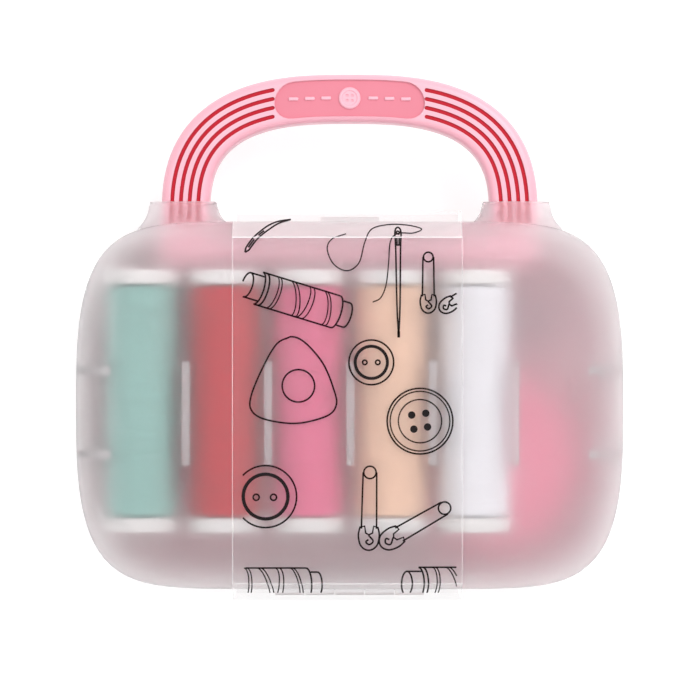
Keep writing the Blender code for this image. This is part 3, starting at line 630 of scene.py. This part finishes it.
def arch_run(count, start=0.0, stop=math.pi):
    """Angles that space points evenly along the arch between two angles."""
    fine = np.linspace(start, stop, 1500)
    spots = np.array([arch_point(a)[:2] for a in fine])
    run = np.concatenate([[0], np.cumsum(np.hypot(*np.diff(spots, axis=0).T))])
    return np.interp(np.linspace(0, run[-1], count), run, fine)


def round_section(half_width, half_depth, edge, steps=6):
    """A rectangle with round corners, as (across, up)."""
    points = []
    for sx, sz in ((1, 1), (-1, 1), (-1, -1), (1, -1)):
        arc = [math.pi / 2 * i / steps for i in range(steps + 1)]
        if sx * sz < 0:
            arc = arc[::-1]
        for a in arc:
            across = half_width - edge + edge * math.cos(a)
            up = half_depth - edge + edge * math.sin(a)
            points.append((sx * across, sz * up))
    return points


def handle_band(name, inset, thick, edge, low):
    """A rounded band pulled up one leg, over the arch and down the other."""
    section = round_section(BAND / 2 - inset, thick / 2, edge)
    stations = [(ARCH_HALF_SPAN, low, 1.0, 0.0), (ARCH_HALF_SPAN, ARCH_SPRING - 0.001, 1.0, 0.0)]
    stations += [arch_point(a) for a in arch_run(90)]
    stations += [(-ARCH_HALF_SPAN, ARCH_SPRING - 0.001, -1.0, 0.0), (-ARCH_HALF_SPAN, low, -1.0, 0.0)]
    rings = [
        [(x + nx * across, CENTRE_Y + y + ny * across, MIDDLE + up) for across, up in section]
        for x, y, nx, ny in stations
    ]
    return pull(name, rings)


def crossbar(name, inset, thick, edge):
    """The bar inside the box that joins the two legs and keeps them from pulling out."""
    section = round_section(BAR_HALF - inset, thick / 2, edge)
    end = ARCH_HALF_SPAN + BAND / 2 - inset
    y = CENTRE_Y + BAR_MIDDLE
    rings = [[(x, y + across, MIDDLE + up) for across, up in section] for x in (-end, 0.0, end)]
    return pull(name, rings)


def slot_outline(offset, half, side):
    """A slot's outline: two curves beside each other, with a round upper end."""
    fine = np.linspace(0, math.pi / 2, 700)
    reach = np.array([arch_point(a, offset)[0] for a in fine])
    stop = float(np.interp(-SLOT_END, -reach, fine))
    angles = arch_run(26, 0.0, stop)
    outer = [arch_point(a, offset + half)[:2] for a in angles]
    inner = [arch_point(a, offset - half)[:2] for a in angles]
    x, y, nx, ny = arch_point(stop, offset)
    tip = []
    for i in range(1, 8):
        lean = math.pi / 2 - math.pi * i / 8
        out, ahead = half * math.sin(lean), half * math.cos(lean)
        tip.append((x + nx * out - ny * ahead, y + ny * out + nx * ahead))
    feet = [(ARCH_HALF_SPAN + offset + half, SLOT_LOW), (ARCH_HALF_SPAN + offset - half, SLOT_LOW)]
    loop = [feet[0], *outer, *tip, *inner[::-1], feet[1]]
    return [(side * x, CENTRE_Y + y) for x, y in loop]


def slots(name, half, low, high):
    """Four curved bars along each leg, which cut the slots or stand in them."""
    offsets = [(i - 1.5) * SLOT_PITCH for i in range(4)]
    made = [
        pull(name, [[(x, y, z) for x, y in slot_outline(offset, half, side)] for z in (low, high)])
        for side in (1, -1) for offset in offsets
    ]
    return together(name, made)


def panel_outline(shrink):
    """The recessed panel: a pill that follows the arch."""
    half = PANEL_HEIGHT / 2 - shrink
    straight = PANEL_HALF - PANEL_HEIGHT / 2
    arc = [math.pi * i / 12 for i in range(1, 12)]
    path = [(straight * (1 - 2 * i / 16), half) for i in range(17)]
    path += [(-straight - half * math.sin(a), half * math.cos(a)) for a in arc]
    path += [(-straight + straight * 2 * i / 16, -half) for i in range(17)]
    path += [(straight + half * math.sin(a), -half * math.cos(a)) for a in arc]
    points = []
    for along, across in path:
        share = abs(along) / ARCH_HALF_SPAN
        sag = (ARCH_TOP - ARCH_SPRING) * (1 - (1 - share ** ARCH_POWER) ** (1 / ARCH_POWER))
        points.append((along, CENTRE_Y + ARCH_TOP + across - sag))
    return points


def stitches():
    """A raised running stitch along the panel, with a small button at its middle."""
    face = MIDDLE + BAND_THICK / 2 - PANEL_DEPTH
    top = CENTRE_Y + ARCH_TOP
    made = []
    for side in (-1, 1):
        for i in range(3):
            x = side * (STITCH_START + STITCH_PITCH * i)
            drop = STITCH_DROP * i
            dash = block("stitch", (x - STITCH_HALF, top - 0.0005 - drop, face - 0.0001),
                         (x + STITCH_HALF, top + 0.0005 - drop, face + 0.00055))
            made.append(modified(dash, "BEVEL", width=0.00042, segments=4))
    profile = [(0.0030, -0.0001), (0.0030, 0.0004), (0.0027, 0.00062),
               (0.0022, 0.00062), (0.0019, 0.0004), (0.0002, 0.0004)]
    button = turned("button", profile, (0, top, face), "Z", 48, "fill")
    holes = [rod("hole", 0.00042, (x, top + y, face + 0.0001), (x, top + y, face + 0.002), 16)
             for x in (-0.0007, 0.0007) for y in (-0.0007, 0.0007)]
    cut(button, "DIFFERENCE", together("holes", holes))
    made.append(button)
    return together("panel_stitches", made)


def on_panel(name, shrink, heights):
    """The panel's outline pulled between two heights."""
    return pull(name, [[(x, y, z) for x, y in panel_outline(shrink)] for z in heights])


def band_and_bar(name, inset, thick, edge):
    """The whole closed ring of the handle: the band with its crossbar."""
    made = handle_band(name, inset, thick, edge, BAR_MIDDLE)
    return cut(made, "UNION", crossbar("bar", inset, thick, edge))


def handle_cover(name, side):
    """One half of the handle's skin, hollow, with slots for the core's lines and a recessed panel."""
    half = BAND_THICK / 2
    cover = band_and_bar(name + "_skin", 0, BAND_THICK, BAND_EDGE)
    low = MIDDLE - 0.02 if side > 0 else MIDDLE - SEAM / 2
    high = MIDDLE + SEAM / 2 if side > 0 else MIDDLE + 0.02
    cut(cover, "DIFFERENCE", block("other_half", (-0.1, -0.1, low), (0.1, 0.15, high)))
    cut(cover, "DIFFERENCE", band_and_bar("hollow", COVER_SIDE, 2 * (half - SKIN), CORE_EDGE))
    ends = sorted((MIDDLE + side * (half - SKIN - 0.001), MIDDLE + side * (half + 0.001)))
    cut(cover, "DIFFERENCE", slots("slots", SLOT_WIDTH / 2, *ends))
    ends = sorted((MIDDLE + side * (half - PANEL_DEPTH), MIDDLE + side * (half + 0.001)))
    cut(cover, "DIFFERENCE", on_panel("recess", 0, ends))
    finish(cover, HANDLE_PINK, "box", name, 40)


def make_handle():
    """Two covers, the core whose lines show through them, and the panel with its stitches; the panel's
    floor is a darker pink sheet as painted shade.
    """
    half = BAND_THICK / 2
    handle_cover("handle_front_cover", 1)
    handle_cover("handle_back_cover", -1)
    core = band_and_bar("handle_core_skin", CORE_INSET, 2 * (half - SKIN - SEAM), CORE_EDGE)
    rib = half - 0.00035
    cut(core, "UNION", slots("ribs", SLOT_WIDTH / 2 - 0.00006, MIDDLE - rib, MIDDLE + rib))
    finish(core, HANDLE_RED, "box", "handle_core", 40)
    face = MIDDLE + half - PANEL_DEPTH
    # Painted shade: a thin darker-pink sheet on the recess floor stands in for the shade inside the recess.
    floor = on_panel("panel_floor", 0.00015, (face + 0.00002, face + 0.00008))
    finish(floor, PANEL_PINK_RECESS_SHADE, "box")
    finish(stitches(), HANDLE_PINK, "box")


# ---------------------------------------------------------------- the spools

def make_spools():
    """Every spool: a turned core with a rounded flange at both ends, and its thread."""
    for colour in SPOOLS:
        low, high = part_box(f"{colour}_spool_core")
        centre = (low + high) / 2
        half = (high.y - low.y) / 2
        radius = (high.x - low.x) / 2
        seat = half - FLANGE
        rim = radius - FLANGE_EDGE
        upper = [(CORE_RADIUS, seat), (rim, seat), (radius, seat + FLANGE_EDGE), (radius, half - 0.0007),
                 (rim, half - 0.0002), (radius - 0.0008, half), (EYE_RADIUS + 0.0004, half),
                 (EYE_RADIUS, half - 0.0004)]
        lower = [(across, -along) for across, along in reversed(upper)]
        core = turned(f"{colour}_spool", [*lower, *upper], centre, "Y", 64)
        finish(core, SPOOL_WHITE, f"{colour}_spool", f"{colour}_spool_core")
        wind(colour, centre, seat - SEAM)


def wind(colour, centre, edge, rows=190, sides=56):
    """The thread on a spool: close turns that lean and cross, laid as ridges in the surface."""
    low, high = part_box(f"{colour}_thread")
    full = (high.x - low.x) / 2
    profile = [(0.0065, -edge), (full - 0.0012, -edge)]
    profile += [(full - 0.0001, -edge + 0.0006 + (2 * edge - 0.0012) * i / rows) for i in range(rows + 1)]
    profile += [(full - 0.0012, edge), (0.0065, edge)]
    thread = turned(f"{colour}_winding", profile, centre, "Y", sides)
    spots = np.zeros(len(thread.data.vertices) * 3, np.float32)
    thread.data.vertices.foreach_get("co", spots)
    spots = spots.reshape(-1, 3)
    x, y, z = (spots - np.array(centre, np.float32)).T
    radius, angle = np.hypot(x, z), np.arctan2(z, x)
    lean = np.sin(angle + 40 * y) * 2.2
    ridge = 0.00007 * np.sin(2 * np.pi * y / 0.0014 + lean)
    ridge = ridge + 0.00005 * np.sin(2 * np.pi * y / 0.0093 + 2 * angle)
    change = np.where(radius > full - 0.0006, ridge - 0.00012, 0)
    grown = (radius + change) / radius
    spots[:, 0] = centre[0] + x * grown
    spots[:, 2] = centre[2] + z * grown
    thread.data.vertices.foreach_set("co", spots.ravel())
    finish(thread, THREADS[colour], f"{colour}_spool", f"{colour}_thread", 60)


# ---------------------------------------------------------------- the sleeve

def film_corners():
    """The sleeve's section, as (Y, Z), from the front's upper crease round to its lower one."""
    face = MIDDLE - FILM_HALF_THICK
    end = FILM_END + FILM_HALF_THICK
    return [
        (CREASE_TOP, MIDDLE + face), (end, MIDDLE + FILM_SLOPE),
        (end, MIDDLE - FILM_SLOPE), (CREASE_TOP, MIDDLE - face),
        (-CREASE_LOW, MIDDLE - face), (-end, MIDDLE - FILM_SLOPE),
        (-end, MIDDLE + FILM_SLOPE), (-CREASE_LOW, MIDDLE + face),
    ]


def film_height(y):
    """Height of the film's outer side over a point of the front, from the box's centre."""
    corners = film_corners()
    if y > CREASE_TOP:
        share = (y - CREASE_TOP) / (corners[1][0] - CREASE_TOP)
        return corners[0][1] + (corners[1][1] - corners[0][1]) * share
    if y < -CREASE_LOW:
        share = (-CREASE_LOW - y) / (-CREASE_LOW - corners[6][0])
        return corners[7][1] + (corners[6][1] - corners[7][1]) * share
    return corners[0][1]


def make_film():
    """The clear sleeve round the box, with softly rounded folds."""
    corners = film_corners()
    section = []
    for i, (y, z) in enumerate(corners):
        before, after = corners[i - 1], corners[(i + 1) % len(corners)]
        for share in (0.06, 0.03, 0.012):
            section.append((y + (before[0] - y) * share * 0.3, z + (before[1] - z) * share * 0.3))
        for share in (0.012, 0.03, 0.06):
            section.append((y + (after[0] - y) * share * 0.3, z + (after[1] - z) * share * 0.3))
    rings = [[(x, CENTRE_Y + y, z) for y, z in section] for x in np.linspace(FILM_LEFT, FILM_RIGHT, 9)]
    film = pull("sleeve_film", rings, "open")
    outward(film)
    modified(film, "SOLIDIFY", thickness=0.0001, offset=-1.0, use_even_offset=True)
    finish(film, FILM, "box", "display_sleeve", 20)
    return film


def crease_lines():
    """Painted highlights along the creases, and the whitish cut edges of the film, as thin beads on its
    surface.
    """
    lift = 0.00002
    lines = []
    for y in (CREASE_TOP, -CREASE_LOW):
        z = film_height(y)
        half = 0.00016 if y > 0 else 0.00008
        lines.append(ribbon([(FILM_LEFT, y), (0, y), (FILM_RIGHT, y)], half, lift, z))
    for x in (FILM_LEFT + 0.00008, FILM_RIGHT - 0.00008):
        course = [(x, y) for y in (FILM_END, CREASE_TOP, 0, -CREASE_LOW, -FILM_END)]
        lines.append(ribbon(course, 0.00007, lift))
    return together("sleeve_creases", lines)


def unit_steps(steps):
    """Steps of a path, all made one long."""
    return steps / np.maximum(np.hypot(*steps.T), 1e-9)[:, None]


def ribbon(points, half, lift=INK_THICK, level=None, closed=False):
    """A printed line: a thin strip on the film that follows points in the front view."""
    spots = np.array(points, float)
    before = np.roll(spots, 1, 0) - spots
    after = spots - np.roll(spots, -1, 0)
    if not closed:
        before[0] = after[0]
        after[-1] = before[-1]
    course = unit_steps(unit_steps(before) + unit_steps(after))
    side = np.stack([-course[:, 1], course[:, 0]], 1) * half
    rings = []
    for spot, across in zip(spots, side):
        ring = []
        for reach, up in ((1, 0.0), (1, lift), (-1, lift), (-1, 0.0)):
            x, y = spot + across * reach
            z = film_height(y) if level is None else level
            ring.append((x, CENTRE_Y + y, z + up))
        rings.append(ring)
    return pull("line", rings, "join" if closed else "fill")


# ---------------------------------------------------------------- the print

def ring(x, y, radius, count=40, squeeze=1.0):
    """A circle, or an oval whose height is its width times squeeze."""
    angles = [2 * math.pi * i / count for i in range(count)]
    return [(x + radius * math.cos(a), y + radius * squeeze * math.sin(a)) for a in angles]


def flow(points, count=12):
    """A smooth curve through points, as many short steps."""
    spots = [np.array(p, float) for p in points]
    spots = [2 * spots[0] - spots[1], *spots, 2 * spots[-1] - spots[-2]]
    curve = []
    for a, b, c, d in zip(spots, spots[1:], spots[2:], spots[3:]):
        for i in range(count):
            t = i / count
            square, cube = 2 * a - 5 * b + 4 * c - d, 3 * b - a - 3 * c + d
            curve.append(tuple(0.5 * (2 * b + (c - a) * t + square * t ** 2 + cube * t ** 3)))
    return [*curve, tuple(spots[-2])]


def turn(points, angle, centre):
    """Points turned by an angle in degrees and moved to a centre."""
    c, s = math.cos(math.radians(angle)), math.sin(math.radians(angle))
    return [(centre[0] + x * c - y * s, centre[1] + x * s + y * c) for x, y in points]


class Print:
    """Gathers printed lines in millimetres from the box's centre."""

    def __init__(self, half):
        self.half, self.lines = half, []

    def inside(self, points):
        return [PRINT_LEFT < x < PRINT_RIGHT and y > PRINT_LOW for x, y in points]

    def line(self, points, closed=False, half=None):
        """Adds a line, cut off where it leaves the printed area."""
        keep = self.inside(points)
        if not any(keep):
            return
        if not all(keep):
            if closed:
                first = keep.index(False)
                points, closed = [*points[first:], *points[:first + 1]], False
            finer = []
            for a, b in zip(points, points[1:]):
                finer += [(a[0] + (b[0] - a[0]) * i / 20, a[1] + (b[1] - a[1]) * i / 20) for i in range(20)]
            points = [*finer, points[-1]]
            keep = self.inside(points)
        run = []
        for point, inside in [*zip(points, keep), (None, False)]:
            if inside:
                run.append(point)
            elif run:
                self.add(run, closed, half)
                run = []

    def add(self, run, closed, half):
        """Lays one unbroken run on the film."""
        if len(run) > 1:
            made = [(x * PRINT_SCALE / 1000, (y * PRINT_SCALE + PRINT_RISE) / 1000) for x, y in run]
            self.lines.append(ribbon(made, half or self.half, closed=closed))


def safety_pin(art, clasp, angle, length, half=2.0):
    """A closed safety pin: a coil at one end, two legs, and a cap with a curled hook."""
    unit = half / 2.0
    coil = half * 0.86
    art.line(turn(ring(length, 0, coil, 22), angle, clasp), True)
    for side in (1, -1):
        leg = [(length, coil + 0.15), (length * 0.6, half), (3.2 * unit, half + 0.1)]
        art.line(turn([(x, side * y) for x, y in leg], angle, clasp))
    cap = [(3.6, 2.5), (1.4, 2.9), (-1.2, 2.4), (-2.6, 0.9)]
    cap = [*cap, *[(x, -y) for x, y in reversed(cap)]]
    cap = [*flow(cap, 5), (3.9, -1.3), (2.0, -1.0), (1.5, 0.0), (2.0, 0.9), (3.9, 1.2)]
    art.line(turn([(x * unit, y * unit) for x, y in cap], angle, clasp), True)
    hook = flow([(1.4, 0.1), (-0.2, -1.2), (-1.2, -0.2), (-0.5, 0.8), (0.2, 0.1)], 5)
    art.line(turn([(x * unit, y * unit) for x, y in hook], angle, clasp))


def bulge(x, low, high, depth, count=12):
    """A curve across a round piece, from low to high, that bulges to one side."""
    middle, half = (low + high) / 2, (high - low) / 2
    spread = [math.pi * i / count for i in range(count + 1)]
    return [(x + depth * math.sin(a), middle - half * math.cos(a)) for a in spread]


def drawn_spool(art, centre, angle, length, width):
    """A long spool of thread on its side, with bands of thread that lean across it."""
    w, half = width / 2, length / 2
    depth = w * 0.34
    tube = w * 0.76
    for y in (w, -w):
        art.line(turn([(-half, y), (half, y)], angle, centre))
    for x in (-half, -half + 1.2, half):
        art.line(turn(bulge(x, -w, w, depth), angle, centre))
    for y in (tube, -tube):
        art.line(turn([(half + depth * 0.8, y), (half + 3.2, y)], angle, centre))
    art.line(turn(bulge(half + 3.2, -tube, tube, depth * 0.8), angle, centre))
    for y in (tube, -tube):
        art.line(turn([(-half + depth * 0.65, y), (-half - 3.2, y)], angle, centre))
    art.line(turn(ring(-half - 3.2, 0, tube * 0.42, 30, 1 / 0.42), angle, centre), True)
    bands = ((-0.66, 0.5), (-0.58, 0.4), (-0.16, -2.6), (-0.06, -2.8),
             (0.14, 1.0), (0.26, 0.6), (0.66, -1.8), (0.74, -2.0))
    for start, lean in bands:
        band = [(x - lean * (0.5 - (y + w) / (2 * w)), y) for x, y in bulge(start * half, -w, w, depth)]
        art.line(turn(band, angle, centre), half=art.half * 0.75)


def drawn_needle(art, tip, eye, width):
    """A straight needle from its point to its eye."""
    along = np.array(eye, float) - np.array(tip, float)
    length = float(np.hypot(*along))
    angle = math.degrees(math.atan2(along[1], along[0]))
    edge = [(0.3, 0.55), (0.8, 0.85), (0.95, 1.1), (1, 0.5)]
    shape = [(length * share, width * wide) for share, wide in edge]
    shape = [(0, 0), *shape, *[(x, -y) for x, y in reversed(shape)], (0, 0)]
    art.line(turn(flow(shape, 4)[:-1], angle, tip), True)
    art.line(turn(ring(length * 0.955, 0, width * 0.55, 14), angle, tip), True)
    for side in (1, -1):
        groove = [(length * 0.84, side * width * 0.35), (length * 0.92, side * width * 0.4)]
        art.line(turn(groove, angle, tip))
    art.line(turn([(length * 0.84, width * 0.8), (length * 0.84, -width * 0.8)], angle, tip))
    art.line(turn([(length * 0.06, 0), (0, 0)], angle, tip), half=art.half * 1.6)


def curved_needle(art, points, width):
    """A bent needle that gets wider from its point to its eye."""
    course = np.array(flow(points, 8), float)
    step = np.gradient(course, axis=0)
    across = np.stack([-step[:, 1], step[:, 0]], 1) / np.hypot(*step.T)[:, None]
    share = np.linspace(0, 1, len(course))[:, None]
    fat = np.minimum(share * 2.4, np.minimum(1, (1 - share) * 14 + 0.05)) * width
    for run in (course + across * fat, course - across * fat, course[-9:-3], course[-16:-11]):
        art.line([tuple(point) for point in run])


def drawn_button(art, centre, radius, inner, holes, hole, bold=1.0):
    """A round button: its rim, rings inside it as (share, weight), and holes, bold ones filled in."""
    art.line(ring(*centre, radius, 52), True)
    for share, weight in inner:
        art.line(ring(*centre, radius * share, 44), True, art.half * weight)
    for x, y in holes:
        size = hole / 2 if bold > 1 else hole
        art.line(ring(centre[0] + x, centre[1] + y, size, 18), True, bold * art.half)


def make_print():
    """Needles, thread, safety pins, spools, buttons and tailor's chalk, scattered over the front."""
    art = Print(0.00023)
    curved_needle(art, [(-16.4, 51.6), (-20.2, 50.6), (-23.4, 48.6), (-26.4, 45.8), (-29.0, 42.2)], 0.55)
    drawn_needle(art, (13.6, 18.6), (13.4, 49.1), 0.78)
    thread = [(-1.0, 47.4), (-5.0, 45.8), (-6.2, 43.0), (-4.4, 38.9), (-0.7, 37.1), (2.6, 39.3),
              (4.2, 45.0), (6.2, 48.8), (11.0, 50.1), (16.2, 49.9), (20.0, 48.8), (17.6, 47.6),
              (13.4, 47.5), (11.3, 45.2), (10.8, 39.2), (10.1, 33.2), (8.6, 29.6), (6.4, 28.4)]
    art.line(flow(thread, 7), half=art.half * 0.75)
    safety_pin(art, (21.8, 27.5), 90, 13.4, 1.55)
    safety_pin(art, (26.7, 27.2), 32, 18.0, 1.45)
    drawn_spool(art, (-14.6, 29.0), -17, 22.4, 9.2)
    chalk = [(-16.5, 18.8), (-12.4, 17.2), (-7.4, 11.4), (-4.4, 4.2), (-3.7, -0.1), (-6.4, -3.2),
             (-14.8, -5.2), (-23.4, -4.1), (-27.2, -1.6), (-27.3, 2.4), (-24.4, 9.6), (-20.4, 16.6)]
    art.line(flow([chalk[-1], *chalk, chalk[0]], 10)[10:-1], True)
    art.line(ring(-14.2, 5.2, 4.5, 40), True)
    drawn_button(art, (6.0, 11.7), 6.2, ((0.72, 1.8),), ((-1.8, 0), (1.8, 0)), 0.62)
    corners = ((-2.3, 1.7), (1.6, 2.2), (-1.7, -2.2), (2.1, -1.6))
    drawn_button(art, (19.5, -4.6), 9.1, ((0.91, 0.8), (0.66, 0.8)), corners, 1.05, 0.5 / art.half / 1000)
    drawn_button(art, (-23.3, -25.5), 8.6, ((0.72, 2.0),), ((-2.6, -0.2), (2.2, -0.2)), 0.85)
    safety_pin(art, (5.3, -37.6), 89, 18.8)
    safety_pin(art, (10.9, -37.6), 30, 17.8)
    drawn_spool(art, (-22.6, -50.0), 0, 21.0, 9.4)
    drawn_spool(art, (29.6, -49.8), 0, 21.0, 9.4)
    return finish(together("sleeve_print", art.lines), INK, "box", angle=5)


# ---------------------------------------------------------------- the tools

def keep_with_finish(node, material, width=0.0):
    """Keeps a piece of the frame and gives it a better finish."""
    piece = frame["nodes"][node]
    piece.data.materials.clear()
    piece.data.materials.append(material)
    if width:
        step = piece.modifiers.new("soft edges", "BEVEL")
        step.width = width
        step.segments = 3
        step.limit_method = "ANGLE"
        step.angle_limit = math.radians(40)
        step.harden_normals = True


def make_tools():
    """The tray, the tape measure, the scissors, the needle tube and the hinge pin."""
    # The tray's finish carries painted shade for its deep place inside the box.
    keep_with_finish("tool_tray", TRAY_PINK_SHADED, 0.0003)
    for node in ("tape_case_back", "tape_case_front", "scissors_lower_bow", "scissors_upper_bow"):
        keep_with_finish(node, TOOL_PINK, 0.0003)
    for node in ("tape_reel", "tape_button"):
        keep_with_finish(node, SPOOL_WHITE, 0.0002)
    keep_with_finish("tape_strip", TAPE)
    for node in ("needle_tube", "needle_tube_cap"):
        keep_with_finish(node, NEEDLE_CLEAR)
    for node in ("tape_end_tab", "scissors_lower_blade", "scissors_upper_blade", "scissors_rivet",
                 "hinge_pin", "needle_1", "needle_2", "needle_3"):
        keep_with_finish(node, STEEL)


# ---------------------------------------------------------------- the stage

def make_stage():
    """A white paper floor under an even pale sky."""
    rest()
    bpy.ops.mesh.primitive_plane_add(size=30, location=(0, 0, -0.0008))
    floor = bpy.context.object
    floor.name = "floor"
    bpy.ops.object.transform_apply(location=True, rotation=True, scale=True)
    paper = Finish("white paper", (0.45, 0.45, 0.45), 0.9,
                   Emission_Color=(1, 1, 1, 1), Emission_Strength=0.65)
    paper.feed("Base Color", paper.tint(paper.noise(40), (0.44, 0.44, 0.44), (0.46, 0.46, 0.46)))
    floor.data.materials.append(paper.material)
    world = bpy.data.worlds.new("studio")
    world.use_nodes = True
    sky = world.node_tree.nodes["Background"].inputs
    sky["Color"].default_value = (1.0, 1.0, 1.0, 1)
    sky["Strength"].default_value = 0.80
    bpy.context.scene.world = world


def area_light(name, place, aim, size, power):
    """A round soft light that faces a point."""
    lamp = bpy.data.lights.new(name, "AREA")
    lamp.shape = "DISK"
    lamp.size, lamp.energy = size, power
    light = bpy.data.objects.new(name, lamp)
    bpy.context.scene.collection.objects.link(light)
    light.location = place
    light.rotation_euler = (Vector(aim) - Vector(place)).to_track_quat("-Z", "Y").to_euler()


def make_camera():
    """Looks straight down on the box, which lies on its back."""
    lens = bpy.data.cameras.new("camera")
    lens.sensor_width = SENSOR
    lens.clip_start, lens.clip_end = 0.01, 50
    camera = bpy.data.objects.new("camera", lens)
    bpy.context.scene.collection.objects.link(camera)
    camera.location = (0.0001, CENTRE_Y + 0.015125, MIDDLE + CAMERA_HEIGHT)
    lens.lens = SENSOR * CAMERA_HEIGHT / FRAME_WIDTH
    bpy.context.scene.camera = camera


make_shells()
make_handle()
make_spools()
film = make_film()
# Beads of painted highlight along the sleeve's folds, with its whitish cut edges.
creases = finish(crease_lines(), CREASE_HIGHLIGHT_AND_EDGE, "box", angle=5)
art = make_print()
make_tools()
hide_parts("display_sleeve")
for piece in (film, creases, art):
    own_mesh(piece)
make_stage()
area_light("softbox", (0, 0.1, 1.6), (0, 0, 0.02), 1.6, 5.8)
area_light("key", (0.42, 0.45, 0.75), (0, 0, 0.02), 0.5, 3.5)
make_camera()
bpy.context.scene.view_settings.view_transform = "Standard"
